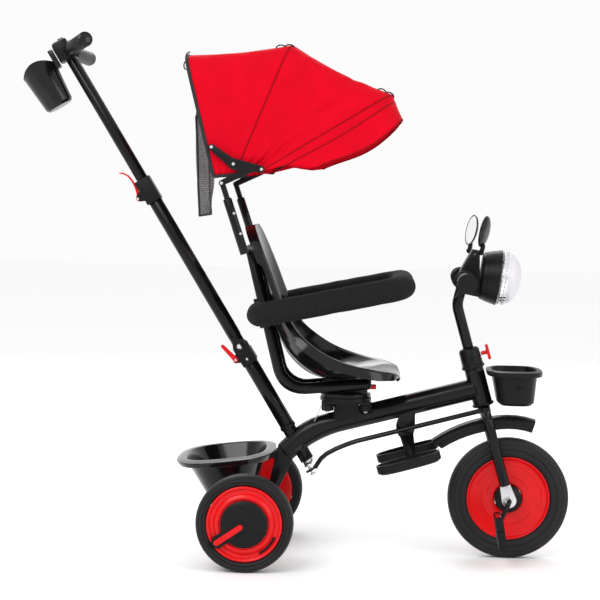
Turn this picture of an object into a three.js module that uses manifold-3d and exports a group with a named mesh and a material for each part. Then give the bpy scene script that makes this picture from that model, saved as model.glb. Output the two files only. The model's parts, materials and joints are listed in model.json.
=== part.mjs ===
// Children's tricycle with parent push pole, swivelling seat, canopy and front-wheel pedals.
// Millimetres. +X forward, +Y to the rider's left, +Z up. The origin is on the floor,
// under the middle of the bounding box.
import * as THREE from "three";
import { mergeVertices } from "three/addons/utils/BufferGeometryUtils.js";
import Module from "manifold-3d";

// ---------------------------------------------------------------- driving dimensions
const GAP = 0.3; // clearance between pieces that touch
const FRONT = { x: 430, r: 120, width: 42, discR: 82.5, hubR: 27 };
const REAR = { x: -81, y: 210, r: 93, width: 46, discR: 72.5, capR: 44 };
const STEER_TILT = 16; // degrees that the steering axis leans back
const POLE_TILT = 31.5; // degrees that the push pole leans back
const POLE_FOOT = { x: 30, z: 184 }; // lower end of the steering shaft under the main tube
const ARM = 40; // steering arm and pole crank length
const MAIN_R = 21; // main tube
const HEAD = { low: 190.5, high: 268, r: 19 }; // heights along the steering axis
const COLLAR_TOP = 309;
const BAR = { x: 25, z: 443, half: 168 }; // handlebar, in the tilted steering frame
const LAMP = { x: 401, z: 558.5, r: 55, tilt: 7 };
const FOOT = { x: 223, z: 254, spread: 80 };
const FOLD = 267; // fold bolt, height along the pole
const POLE_END = 930;
const AXLE_END = 230; // half length of the rear axle
const HANDLE = { z: 937, half: 130, sweep: 37, turn: 8.3 };
const SEAT = { x: 103 }; // swivel centre

const wasm = await Module();
wasm.setup();
const rad = THREE.MathUtils.degToRad;

// ---------------------------------------------------------------- finishes
const finish = (color, roughness, metalness = 0) =>
  new THREE.MeshStandardMaterial({ color, roughness, metalness });
const PAINT = () => finish(0x0c0c0e, 0.25, 0.2);
const PLASTIC = () => finish(0x1b1b1d, 0.5);
const GLOSS = () => finish(0x101012, 0.25);
const TYRE = () => finish(0x26272a, 0.7);
const RED = () => finish(0xe01010, 0.4);
const STEEL = () => finish(0xb8bcc0, 0.25, 1);
const FABRIC = () => finish(0xe00018, 0.9);
const FOAM = () => finish(0x17171a, 0.95);

// ---------------------------------------------------------------- geometry helpers
// Vertices merged and faces turned outward.
function solid(geometry) {
  let g = geometry.index ? geometry : geometry.clone();
  g.deleteAttribute("normal");
  g.deleteAttribute("uv");
  g = mergeVertices(g, 1e-3);
  const p = g.attributes.position;
  const tri = [];
  let volume = 0;
  const [a, b, c] = [0, 1, 2].map(() => new THREE.Vector3());
  for (let i = 0; i < g.index.count; i += 3) {
    const [ia, ib, ic] = [0, 1, 2].map((k) => g.index.getX(i + k));
    if (ia === ib || ib === ic || ia === ic) continue;
    a.fromBufferAttribute(p, ia);
    b.fromBufferAttribute(p, ib);
    c.fromBufferAttribute(p, ic);
    volume += a.dot(b.clone().cross(c));
    tri.push([ia, ib, ic]);
  }
  g.setIndex(tri.flatMap(([i, j, k]) => (volume < 0 ? [i, k, j] : [i, j, k])));
  return g;
}

const toManifold = (g) =>
  new wasm.Manifold(new wasm.Mesh({
    numProp: 3,
    vertProperties: Float32Array.from(g.attributes.position.array),
    triVerts: Uint32Array.from(g.index.array),
  }));

function fromManifold(m) {
  const mesh = m.getMesh();
  const g = new THREE.BufferGeometry();
  g.setAttribute("position", new THREE.BufferAttribute(Float32Array.from(mesh.vertProperties), 3));
  g.setIndex([...mesh.triVerts]);
  return solid(g);
}

const union = (...g) => fromManifold(g.map((s) => toManifold(solid(s))).reduce((a, b) => a.add(b)));
const cut = (base, ...tools) =>
  fromManifold(tools.map((s) => toManifold(solid(s)))
    .reduce((a, b) => a.subtract(b), toManifold(solid(base))));

// Route through stations spaced by index, so that a sweep samples exactly those points.
class Route extends THREE.Curve {
  constructor(points) {
    super();
    this.points = points;
  }
  getPoint(t) {
    const f = t * (this.points.length - 1);
    const i = Math.min(Math.floor(f), this.points.length - 2);
    return this.points[i].clone().lerp(this.points[i + 1], f - i);
  }
  getPointAt(t) {
    return this.getPoint(t);
  }
  getSpacedPoints(n) {
    return Array.from({ length: n + 1 }, (_, i) => this.getPoint(i / n));
  }
  getTangentAt(t) {
    const step = 0.5 / (this.points.length - 1);
    const ahead = this.getPoint(Math.min(1, t + step));
    return ahead.sub(this.getPoint(Math.max(0, t - step))).normalize();
  }
}

// Straight runs joined by round bends.
function bent(corners, radius, perBend = 5) {
  const v = corners.map((c) => new THREE.Vector3(...c));
  const out = [v[0]];
  for (let i = 1; i < v.length - 1; i++) {
    const back = v[i - 1].clone().sub(v[i]).normalize();
    const on = v[i + 1].clone().sub(v[i]).normalize();
    const half = back.angleTo(on) / 2;
    const r = Array.isArray(radius) ? radius[i - 1] : radius;
    const reach = r / Math.tan(half);
    const centre = v[i].clone().addScaledVector(back.clone().add(on).normalize(), r / Math.sin(half));
    const start = v[i].clone().addScaledVector(back, reach).sub(centre);
    const end = v[i].clone().addScaledVector(on, reach).sub(centre);
    const sweep = start.angleTo(end);
    for (let k = 0; k <= perBend; k++) {
      const t = k / perBend;
      const p = start.clone().multiplyScalar(Math.sin((1 - t) * sweep) / Math.sin(sweep));
      out.push(p.addScaledVector(end, Math.sin(t * sweep) / Math.sin(sweep)).add(centre));
    }
  }
  return [...out, v.at(-1)];
}

function ring(radius, sides, squash = 1) {
  const pts = Array.from({ length: sides }, (_, i) => {
    const a = ((i + 0.5) / sides) * 2 * Math.PI;
    return new THREE.Vector2(radius * Math.cos(a), radius * squash * Math.sin(a));
  });
  return new THREE.Shape(pts);
}

// A rod, or a tube when bore is given, swept through the stations.
function sweep(stations, radius, { sides = 12, bore = 0 } = {}) {
  const shape = ring(radius, sides);
  if (bore) shape.holes.push(ring(bore, sides));
  return solid(new THREE.ExtrudeGeometry(shape, {
    steps: stations.length - 1, curveSegments: 1, extrudePath: new Route(stations) }));
}

// Straight rod or tube between two points.
const rod = (from, to, radius, options) =>
  sweep([new THREE.Vector3(...from), new THREE.Vector3(...to)], radius, options);

// Outline in X and Z (array of points or a Shape), extruded along Y from y0 to y1.
function plateXZ(outline, y0, y1, holes = []) {
  const shape = Array.isArray(outline)
    ? new THREE.Shape(outline.map(([x, z]) => new THREE.Vector2(x, z))) : outline;
  holes.forEach((h) => shape.holes.push(h));
  const g = new THREE.ExtrudeGeometry(shape, { depth: y1 - y0, bevelEnabled: false, curveSegments: 8 });
  g.rotateX(Math.PI / 2);
  g.translate(0, y1, 0);
  return solid(g);
}

// Circle for a hole in such an outline.
const hole = (x, z, r, sides = 12) =>
  new THREE.Path(Array.from({ length: sides }, (_, i) => {
    const a = (i / sides) * 2 * Math.PI;
    return new THREE.Vector2(x + r * Math.cos(a), z + r * Math.sin(a));
  }));

// Two circles joined by their tangents: a link, lever or lug outline.
function linkOutline(x0, z0, r0, x1, z1, r1, n = 6) {
  const d = Math.hypot(x1 - x0, z1 - z0);
  const dir = Math.atan2(z1 - z0, x1 - x0);
  const lean = Math.acos((r0 - r1) / d);
  const pts = [];
  for (let i = 0; i <= n; i++) {
    const a = dir + lean + (i / n) * (2 * Math.PI - 2 * lean);
    pts.push([x0 + r0 * Math.cos(a), z0 + r0 * Math.sin(a)]);
  }
  for (let i = 0; i <= n; i++) {
    const a = dir - lean + (i / n) * 2 * lean;
    pts.push([x1 + r1 * Math.cos(a), z1 + r1 * Math.sin(a)]);
  }
  return pts;
}

// Closed profile of [radius, y] pairs turned about the Y axis.
function turned(profile, segments = 32) {
  const pts = profile.map(([r, y]) => new THREE.Vector2(r, y));
  if (profile[0][0] > 0) pts.push(pts[0].clone());
  return solid(new THREE.LatheGeometry(pts, segments));
}

// Same, about the Z axis, with heights along +Z.
function turnedZ(profile, segments = 24) {
  const g = turned(profile, segments);
  g.rotateX(Math.PI / 2);
  return g;
}

const box = (x0, x1, y0, y1, z0, z1) => {
  const g = new THREE.BoxGeometry(x1 - x0, y1 - y0, z1 - z0);
  g.translate((x0 + x1) / 2, (y0 + y1) / 2, (z0 + z1) / 2);
  return solid(g);
};

// Thin shell between two equal grids of points.
function shell(outer, inner) {
  const [rows, cols] = [outer.length, outer[0].length];
  const pos = [...outer.flat(), ...inner.flat()].flatMap((p) => [p.x, p.y, p.z]);
  const id = (side, i, j) => side * rows * cols + i * cols + j;
  const tri = [];
  const quad = (a, b, c, d) => tri.push(a, b, c, a, c, d);
  for (let i = 0; i < rows - 1; i++) {
    for (let j = 0; j < cols - 1; j++) {
      quad(id(0, i, j), id(0, i + 1, j), id(0, i + 1, j + 1), id(0, i, j + 1));
      quad(id(1, i, j), id(1, i, j + 1), id(1, i + 1, j + 1), id(1, i + 1, j));
    }
  }
  for (let i = 0; i < rows - 1; i++) {
    quad(id(0, i, 0), id(1, i, 0), id(1, i + 1, 0), id(0, i + 1, 0));
    quad(id(0, i, cols - 1), id(0, i + 1, cols - 1), id(1, i + 1, cols - 1), id(1, i, cols - 1));
  }
  for (let j = 0; j < cols - 1; j++) {
    quad(id(0, 0, j), id(0, 0, j + 1), id(1, 0, j + 1), id(1, 0, j));
    quad(id(0, rows - 1, j), id(1, rows - 1, j), id(1, rows - 1, j + 1), id(0, rows - 1, j + 1));
  }
  const g = new THREE.BufferGeometry();
  g.setAttribute("position", new THREE.Float32BufferAttribute(pos, 3));
  g.setIndex(tri);
  return solid(g);
}

// Open tub: a turned wall whose round plan is pressed into a rounded rectangle,
// with the walls' plan given for each height by place(angle, radius share, height share).
function tub(profile, segments, place) {
  const g = turnedZ(profile, segments);
  const p = g.attributes.position;
  for (let i = 0; i < p.count; i++) {
    const r = Math.hypot(p.getX(i), p.getY(i));
    const at = place(Math.atan2(p.getY(i), p.getX(i)), r, p.getZ(i));
    p.setXYZ(i, at.x, at.y, at.z);
  }
  return solid(g);
}

// Rounded-rectangle plan: unit direction bent towards a square by the exponent.
function squircle(angle, power) {
  const [c, s] = [Math.cos(angle), Math.sin(angle)];
  const bend = (v) => Math.sign(v) * Math.abs(v) ** power;
  return { x: bend(c), y: bend(s) };
}

// ---------------------------------------------------------------- scene graph
const tricycle = new THREE.Group();
const group = (x, z, tilt = 0) => {
  const g = new THREE.Group();
  g.position.set(x, 0, z);
  g.rotation.y = rad(-tilt);
  tricycle.add(g);
  return g;
};
const steer = group(FRONT.x, FRONT.r, STEER_TILT);
const pole = group(POLE_FOOT.x, POLE_FOOT.z, POLE_TILT);
const lamp = group(LAMP.x, LAMP.z, -LAMP.tilt);

function add(parent, name, geometry, material) {
  const mesh = new THREE.Mesh(solid(geometry), material);
  mesh.name = name;
  parent.add(mesh);
  return mesh;
}
const SIDES = [["right", -1], ["left", 1]];

// ---------------------------------------------------------------- frame
// Centreline of the main tube: a straight run back from the head, then a bend downwards.
const MAIN_PATH = bent([[360, 0, 336.3], [33, 0, 249.8], [-14.7, 0, 202.1]], 250, 8);
const steerTool = (radius, z0, z1) => {
  const g = rod([0, 0, z0], [0, 0, z1], radius, { sides: 20 });
  g.rotateY(rad(-STEER_TILT));
  g.translate(FRONT.x, 0, FRONT.r);
  return g;
};
const poleTool = (radius, z0, z1) => {
  const g = rod([0, 0, z0], [0, 0, z1], radius, { sides: 20 });
  g.rotateY(rad(-POLE_TILT));
  g.translate(POLE_FOOT.x, 0, POLE_FOOT.z);
  return g;
};
const mainSolid = (extra) => sweep(MAIN_PATH, MAIN_R + extra, { sides: 20 });

const acrossAt = (x, z, half, radius) => rod([x, -half, z], [x, half, z], radius);

// Main tube with the pole's socket and the footrest's lug welded to it.
function mainTube() {
  const tube = sweep(MAIN_PATH, MAIN_R, { sides: 16, bore: MAIN_R - 2 });
  const lug = plateXZ(linkOutline(FOOT.x, FOOT.z, 19, FOOT.x + 4, 288, 15), -16, 16);
  const slot = box(190, 260, -12.8, 12.8, 225, 270);
  const slotted = cut(lug, sweep(MAIN_PATH, MAIN_R - 1, { sides: 16 }), slot);
  const welded = union(tube, slotted, poleTool(14, 3, 76));
  const bored = cut(welded, steerTool(HEAD.r + GAP, 150, 350), poleTool(11.4, 0, 90));
  return union(bored, acrossAt(FOOT.x, FOOT.z, 18.4, 4),
    rod([FOOT.x, -20, FOOT.z], [FOOT.x, -15.5, FOOT.z], 8),
    rod([FOOT.x, 15.5, FOOT.z], [FOOT.x, 20, FOOT.z], 8));
}

// Flat strut from the tube's end down to the axle, with the axle welded through it.
function rearBracket() {
  const outline = [[-29.8, 216.4], [-0.3, 186.9], [-24, 136], [-52, 100], [-62, 80], [-80, 73],
    [-96, 80], [-101, 95], [-94, 110], [-72, 118], [-46, 142]];
  return union(plateXZ(outline, -16, 16), rod([REAR.x, -180, REAR.r], [REAR.x, 180, REAR.r], 12.5,
    { sides: 16 }), acrossAt(REAR.x, REAR.r, AXLE_END, 6));
}

function headTube() {
  const cup = turnedZ([[12.9, 189.8], [19, 189.8], [22, 192], [22, 196], [12.9, 198]], 20);
  return union(rod([0, 0, 194], [0, 0, HEAD.high], HEAD.r, { sides: 20, bore: 12.9 }), cup);
}

function frameNodes() {
  add(tricycle, "main_tube", mainTube(), PAINT());
  add(steer, "head_tube", headTube(), PAINT());
  add(steer, "head_collar", turnedZ([[12.9, HEAD.high + GAP], [23, HEAD.high + GAP], [23, HEAD.high + 5],
    [20.5, HEAD.high + 8], [20.5, COLLAR_TOP - 5], [17, COLLAR_TOP], [12.9, COLLAR_TOP]], 20), PLASTIC());
  add(tricycle, "rear_bracket", rearBracket(), PAINT());
}

// ---------------------------------------------------------------- fork, handlebar and lamp
function fork() {
  const legs = sweep(bent([[0, -36, 30], [0, -36, 179], [0, 36, 179], [0, 36, 30]], 26, 4), 10);
  const steerer = rod([0, 0, 176], [0, 0, 300], 12.5, { sides: 16 });
  const lug = rod([0, -ARM, 158], [0, -ARM, 182], 6, { sides: 10 });
  const pin = rod([0, -ARM, 181], [0, -ARM, 190.5], 3, { sides: 10 });
  const ends = [-1, 1].map(forkEnd);
  const bore = rod([0, 0, 225], [0, 0, 302], 10.8, { sides: 16 });
  return cut(union(legs, steerer, lug, pin, ...ends), bore);
}

function forkEnd(side) {
  const y0 = 36 * side - 2;
  return plateXZ(linkOutline(0, 0, 15, 0, 26, 8), y0, y0 + 4, [hole(0, 0, 5.5)]);
}

function handlebar() {
  const stem = sweep(bent([[0, 0, 230], [0, 0, 398], [BAR.x, 0, BAR.z]], 45, 4), 10.5);
  const bar = rod([BAR.x, -BAR.half, BAR.z], [BAR.x, BAR.half, BAR.z], 10.5);
  return union(stem, bar);
}

function grip(side) {
  const g = turned([[10.8, 66], [21, 66], [21, 70], [16.5, 73], [16.5, 165], [19, 167], [19, 172],
    [0, 172], [0, BAR.half + GAP], [10.8, BAR.half + GAP]].map(([r, y]) => [r, y * side]), 20);
  g.translate(BAR.x, 0, BAR.z);
  return g;
}

// Fender: a channel whose rear end flares away from the wheel.
function fender() {
  const radius = (deg) => 166 + 25 * Math.max(0, (deg - 95) / 48) ** 2;
  const across = [[-25, -26], [-24.5, -10], [-18, -2], [0, 0], [18, -2], [24.5, -10], [25, -26]];
  const grid = (inset) => Array.from({ length: 12 }, (_, i) => {
    const deg = 72 + (i / 11) * 72;
    return across.map(([y, dr]) => {
      const r = radius(deg) + dr - (Math.abs(y) < 20 ? inset : 0);
      const yy = Math.sign(y) * Math.max(0, Math.abs(y) - (Math.abs(y) > 20 ? inset : 0));
      return new THREE.Vector3(FRONT.x + r * Math.cos(rad(deg)), yy, FRONT.r + r * Math.sin(rad(deg)));
    });
  });
  return shell(grid(0), grid(2));
}

// Turned about the lamp's forward axis; profile is [radius, forward].
function turnedX(profile, segments = 28) {
  const g = turned(profile, segments);
  g.rotateZ(-Math.PI / 2);
  return g;
}

function lensProfile() {
  const arc = (r, x, start, n = 5) => Array.from({ length: n + 1 }, (_, i) => {
    const a = (i / n) * (Math.PI / 2);
    return [r * Math.sin(a), start + x * Math.cos(a)];
  });
  return [...arc(53.5, 31.7, 14.3), ...arc(51.8, 30, 14.3).reverse()];
}

function lampBracket() {
  const outline = [[315, 517], [333, 526], [363.5, 520], [362, 612], [348, 614], [326, 574], [318, 552],
    [324, 536]];
  const body = plateXZ(outline, -26, 26);
  const arms = rod([354, -60, 602], [354, 60, 602], 5, { sides: 10 });
  const clearance = handlebar();
  clearance.rotateY(rad(-STEER_TILT));
  clearance.translate(FRONT.x, 0, FRONT.r);
  const widened = rod([BAR.x, -40, BAR.z], [BAR.x, 40, BAR.z], 11);
  widened.rotateY(rad(-STEER_TILT));
  widened.translate(FRONT.x, 0, FRONT.r);
  const stem = rod([-2, 0, 396], [BAR.x, 0, BAR.z], 11.2);
  stem.rotateY(rad(-STEER_TILT));
  stem.translate(FRONT.x, 0, FRONT.r);
  return cut(union(body, arms), clearance, widened, stem);
}

function mirror(name, side) {
  const g = new THREE.Group();
  g.position.set(361 - 9 * side, 64 * side, 650);
  g.rotation.set(0, rad(12), rad(24 * side), "ZYX");
  tricycle.add(g);
  const dish = turnedX([[0, 4], [15, 3], [22, -1], [23, -5], [21.5, -5], [21, -3.3], [0, -3.3]], 20);
  dish.scale(1, 1, 1.38);
  const stalk = rod([1, 0, -26], [-3, -8 * side, -41], 4.5, { sides: 10 });
  add(g, `mirror_${name}`, union(dish, stalk), PLASTIC());
}

function frontNodes() {
  add(steer, "fork", fork(), PAINT());
  add(steer, "handlebar", handlebar(), PAINT());
  add(tricycle, "fender", fender(), PLASTIC());
  for (const [name, side] of SIDES) {
    add(steer, `handlebar_grip_${name}`, grip(side), PLASTIC());
    mirror(name, side);
  }
  const bowl = turnedX([[0, -36], [42, -36], [47, -32], [55, 0], [53, 0], [45.5, -31], [41, -34],
    [0, -34]]);
  bowl.rotateY(rad(LAMP.tilt));
  bowl.translate(LAMP.x, 0, LAMP.z);
  add(tricycle, "lamp_housing", union(bowl, lampBracket()), PLASTIC());
  add(lamp, "lamp_lens", turnedX(lensProfile()), finish(0xe6e8ea, 0.15));
  const wing = union(box(33, 39, -6, 6, 277, 308), rod([21.5, 0, 292.5], [34, 0, 292.5], 4));
  add(steer, "steering_lock_knob", wing, RED());
}

// ---------------------------------------------------------------- wheels and pedals
const TYRE_PROFILE = (r, bead, half) => [[bead, -half * 0.62], [bead + 4, -half * 0.86],
  [r * 0.9, -half], [r * 0.975, -half * 0.78], [r, -half * 0.3], [r, half * 0.3],
  [r * 0.975, half * 0.78], [r * 0.9, half], [bead + 4, half * 0.86], [bead, half * 0.62]];

const wheelGroup = (x, y, z) => {
  const g = new THREE.Group();
  g.position.set(x, y, z);
  tricycle.add(g);
  return g;
};

const CRANK = { length: 53, angle: 246.8, y: 58, reach: 148 };
const crankAt = (sign) => {
  const a = rad(CRANK.angle);
  return [sign * CRANK.length * Math.cos(a), sign * CRANK.length * Math.sin(a)];
};

function crankAxle() {
  const [x, z] = crankAt(1);
  const path = [[x, -CRANK.reach, z], [x, -CRANK.y, z], [0, -CRANK.y, 0], [0, CRANK.y, 0],
    [-x, CRANK.y, -z], [-x, CRANK.reach, -z]];
  return sweep(bent(path, 8, 3), 4.8, { sides: 10 });
}

function pedal(sign) {
  const half = [31, 7.5];
  const corner = 4;
  const shape = new THREE.Shape();
  shape.absarc(half[0] - corner, half[1] - corner, corner, 0, Math.PI / 2);
  shape.absarc(corner - half[0], half[1] - corner, corner, Math.PI / 2, Math.PI);
  shape.absarc(corner - half[0], corner - half[1], corner, Math.PI, 1.5 * Math.PI);
  shape.absarc(half[0] - corner, corner - half[1], corner, 1.5 * Math.PI, 2 * Math.PI);
  const g = plateXZ(shape, 0, 76, [hole(0, 0, 5.3)]);
  g.translate(0, sign > 0 ? -146 : 70, 0);
  return g;
}

function frontWheel() {
  const g = wheelGroup(FRONT.x, 0, FRONT.r);
  const half = FRONT.width / 2;
  add(g, "front_tyre", turned(TYRE_PROFILE(FRONT.r, FRONT.discR + GAP, half), 32), TYRE());
  add(g, "front_disc", turned([[FRONT.hubR + GAP, -9], [60, -11], [70, -14], [FRONT.discR, -14],
    [FRONT.discR, 14], [70, 14], [60, 11], [FRONT.hubR + GAP, 9]], 32), RED());
  add(g, "front_hub", turned([[5.2, -30], [18, -30], [FRONT.hubR, -24], [FRONT.hubR, 24], [18, 30],
    [5.2, 30]], 24), PLASTIC());
  add(g, "crank_axle", crankAxle(), STEEL());
  for (const [name, sign] of [["right", 1], ["left", -1]]) {
    const [x, z] = crankAt(sign);
    const p = wheelGroup(FRONT.x + x, 0, FRONT.r + z);
    p.rotation.y = rad(81);
    add(p, `pedal_${name}`, pedal(sign), PLASTIC());
  }
}

// Brake lever on the outside of each rear wheel, flipping outward about a pin near the hub.
const BRAKE = { angle: 214.4, inner: 8, outer: 71 };

function brakeArm(r0, r1, y0, y1, start, end) {
  const [c, s] = [Math.cos(rad(BRAKE.angle)), Math.sin(rad(BRAKE.angle))];
  return plateXZ(linkOutline(start * c, start * s, r0, end * c, end * s, r1), y0, y1);
}

function rearWheel(name, side) {
  const g = wheelGroup(REAR.x, REAR.y * side, REAR.r);
  const half = REAR.width / 2;
  const flip = (p) => p.map(([r, y]) => [r, y * side]);
  const slab = (f, y0, y1) => f(Math.min(y0 * side, y1 * side), Math.max(y0 * side, y1 * side));
  add(g, `rear_tyre_${name}`, turned(TYRE_PROFILE(REAR.r, REAR.discR + GAP, half), 28), TYRE());
  const disc = turned(flip([[6.3, -26], [16, -26], [18, -14], [66, -14], [REAR.discR, -16],
    [REAR.discR, 19], [66, 21], [52, 21], [47, 19], [47, 17], [6.3, 17]]), 28);
  add(g, `rear_wheel_${name}`, disc, RED());
  const cover = union(turned(flip([[0, 17.8], [45, 17.8], [45, 21], [40, 24], [0, 24]]), 32),
    slab((a, b) => brakeArm(9, 9, a, b, BRAKE.inner, BRAKE.outer - 8), 22, 25.5));
  const trimmed = cut(cover, slab((a, b) => rod([0, a, 0], [0, b, 0], 6.3), 17, 20.6));
  add(g, `brake_cover_${name}`, trimmed, PLASTIC());
  add(g, `brake_lever_${name}`,
    slab((a, b) => brakeArm(5.5, 5.5, a, b, BRAKE.inner, BRAKE.outer - 9), 25.9, 30.5), RED());
}

// ---------------------------------------------------------------- baskets and footrest
const lerp = THREE.MathUtils.lerp;
const TUB_WALL = [[0, 0], [0.86, 0], [1, 0.08], [1, 0.9], [1.17, 0.93], [1.19, 0.84], [1.22, 0.84],
  [1.21, 0.97], [1.02, 1], [0.96, 1], [0.96, 0.09], [0.84, 0.04], [0, 0.04]];

function frontBasket() {
  return tub(TUB_WALL, 24, (angle, r, z) => {
    const plan = squircle(angle, 0.62);
    return { x: lerp(440, 436, z) + r * plan.x * lerp(36, 46, z), y: r * plan.y * lerp(56, 66, z),
      z: 308 + 70 * z };
  });
}

function rearBasket() {
  return tub(TUB_WALL, 24, (angle, r, z) => {
    const plan = squircle(angle, 0.66);
    const x = lerp(-122, -133, z) + r * plan.x * lerp(47, 82, z);
    return { x, y: r * plan.y * lerp(92, 122, z), z: 118 + z * (83 + 0.11 * (x + 133)) };
  });
}

const FOOT_BAR = { x: 237, z: 195 };

function footrest() {
  const post = plateXZ(linkOutline(FOOT.x, FOOT.z, 15, FOOT_BAR.x, FOOT_BAR.z, 9), -9.5, 9.5);
  const eye = rod([FOOT.x, -12.4, FOOT.z], [FOOT.x, 12.4, FOOT.z], 15, { sides: 16 });
  return cut(union(post, eye, acrossAt(FOOT_BAR.x, FOOT_BAR.z, 47.7, 7)),
    acrossAt(FOOT.x, FOOT.z, 20, 4.3));
}

function footTray(side) {
  const profile = [[0, -10], [0.93, -10], [1, -6], [1, 9], [0.92, 9], [0.92, -3], [0, -4]];
  const g = tub(profile, 24, (angle, r, z) => {
    const plan = squircle(angle, 0.7);
    return { x: r * plan.x * 64, y: side * (80 - 0.2) + r * plan.y * 31, z };
  });
  return g;
}

function lowerNodes() {
  add(tricycle, "front_basket", frontBasket(), PLASTIC());
  add(tricycle, "rear_basket", rearBasket(), GLOSS());
  add(tricycle, "footrest_post", footrest(), PAINT());
  const trays = group(230, 196.5, 16);
  for (const [name, side] of SIDES) add(trays, `foot_tray_${name}`, footTray(side), PLASTIC());
}

// ---------------------------------------------------------------- push pole
function poleLowerNodes() {
  const crank = new THREE.ExtrudeGeometry(new THREE.Shape(linkOutline(0, 0, 10, 0, -ARM, 8)
    .map(([x, y]) => new THREE.Vector2(x, y))), { depth: 3.3, bevelEnabled: false });
  crank.translate(0, 0, -5.3);
  add(pole, "steering_shaft", union(rod([0, 0, -3], [0, 0, 160], 11, { sides: 16 }), crank,
    rod([0, -ARM, -4], [0, -ARM, -22], 3, { sides: 10 }),
    rod([0, -ARM, -21], [0, -ARM, -25], 5.5, { sides: 6 })), STEEL());
  const lower = rod([0, 0, 76.5], [0, 0, 250], 14.25, { sides: 16, bore: 12.2 });
  add(pole, "pole_lower_tube", lower, PAINT());
  const cheek = [[-14.5, 226], [14.5, 226], [15, 268], [10, 279], [0, 283], [-10, 279], [-15, 268],
    [-15, 258], [-26, 252], [-26, 243], [-15, 238]];
  const bracket = union(plateXZ(cheek, -17.2, -14.7), plateXZ(cheek, 14.7, 17.2),
    box(14.3, 17.2, -17.2, 17.2, 230, 258), rod([0, -20, FOLD], [0, 20, FOLD], 4),
    rod([0, -20, FOLD], [0, -17, FOLD], 6.5), rod([0, 17, FOLD], [0, 20, FOLD], 6.5));
  add(pole, "fold_bracket", bracket, PLASTIC());
  const latch = plateXZ(linkOutline(-20, 248, 5, -29, 285, 3.5), -22, -17.6);
  add(pole, "fold_latch", latch, RED());
}

function poleUpperNodes() {
  const eye = union(rod([0, -12, FOLD], [0, 12, FOLD], 13, { sides: 20 }),
    rod([0, 0, FOLD], [0, 0, 286], 13,
    { sides: 16 }));
  const middle = cut(union(eye, rod([0, 0, 284], [0, 0, 650], 13, { sides: 16 })),
    rod([0, 0, 300], [0, 0, 652], 11.4, { sides: 16 }),
    rod([0, -20, FOLD], [0, 20, FOLD], 4.3));
  add(pole, "pole_middle_tube", middle, PAINT());
  const collar = cut(box(-15.5, 15.5, -16, 16, 602, 653),
    rod([0, 0, 600], [0, 0, 650.3], 13.3, { sides: 16 }),
    rod([0, 0, 640], [0, 0, 660], 11.4, { sides: 16 }));
  const ear = [[-15.4, 612], [-15.4, 634], [-25, 630], [-30, 623], [-25, 616]];
  const ears = [-8.5, 6].map((y) => plateXZ(ear, y, y + 2.5));
  add(pole, "pole_clamp", union(collar, ...ears), PLASTIC());
  const lever = [[-30, 618], [-21, 618], [-18.5, 626], [-17.3, 645], [-17, 660], [-19.5, 674], [-25, 683],
    [-33, 688], [-34, 685], [-27, 680], [-22.5, 672], [-20.5, 660], [-21.5, 645], [-25, 632], [-31, 625]];
  add(pole, "clamp_lever", plateXZ(lever, -5.4, 5.4), RED());
  const upper = rod([0, 0, 480], [0, 0, POLE_END], 11, { sides: 16, bore: 9.5 });
  add(pole, "pole_upper_tube", upper, PAINT());
  const handle = new THREE.Group();
  handle.rotation.z = rad(HANDLE.turn);
  pole.add(handle);
  const bars = [-1, 1].map((side) => sweep(bent([
    [9, 17 * side, HANDLE.z + 8], [12, 40 * side, HANDLE.z + 6],
    [HANDLE.sweep, HANDLE.half * side, HANDLE.z - 6]], 60, 2), 14.5, { sides: 14 }));
  add(handle, "push_handle", union(box(-22, 11, -19, 19, POLE_END + GAP, 973), ...bars), PLASTIC());
  const cupWall = [[0, 0], [26, 0], [29, 4], [36, 80], [34, 80], [27, 6], [0, 3]];
  const cupShape = tub(cupWall, 28, (angle, r, z) => ({
    x: -67 + r * Math.cos(angle), y: r * Math.sin(angle),
    z: 860 + z * (z > 50 ? 1 + 0.2 * Math.sin(angle) ** 2 : 1) }));
  add(pole, "cup_holder", union(cupShape, box(-33.5, -24.4, -12, 12, 926, 966)), GLOSS());
}

// Rod that turns the fork from the pole, with an eye at each end.
function steeringRod() {
  const along = (start, tilt, length) =>
    ({ x: start.x - length * Math.sin(rad(tilt)), z: start.z + length * Math.cos(rad(tilt)) });
  const front = along({ x: FRONT.x, z: FRONT.r }, STEER_TILT, 187);
  const rear = along(POLE_FOOT, POLE_TILT, -14);
  const eye = (at, tilt, bore) => {
    const g = turnedZ([[bore, -2], [bore + 5.6, -2], [bore + 5.6, 2], [bore, 2]], 14);
    g.rotateY(rad(-tilt));
    g.translate(at.x, -ARM, at.z);
    return g;
  };
  const points = [[rear.x + 8, -ARM, rear.z + 4], [62, -ARM, 200], [112, -ARM, 226], [160, -ARM, 240],
    [250, -ARM, 264], [front.x - 8, -ARM, front.z - 2.5]];
  const curve = new THREE.CatmullRomCurve3(points.map((p) => new THREE.Vector3(...p)));
  const bar = sweep(curve.getPoints(13), 5, { sides: 8 });
  const bores = [[front, STEER_TILT, 3.4], [rear, POLE_TILT, 5.2]].map(([at, tilt, bore]) => {
    const g = rod([0, 0, -8], [0, 0, 8], bore);
    g.rotateY(rad(-tilt));
    g.translate(at.x, -ARM, at.z);
    return g;
  });
  return cut(union(bar, eye(front, STEER_TILT, 3.4), eye(rear, POLE_TILT, 5.2)), ...bores);
}

// ---------------------------------------------------------------- seat
const V = (x, y, z) => new THREE.Vector3(x, y, z);

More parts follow.
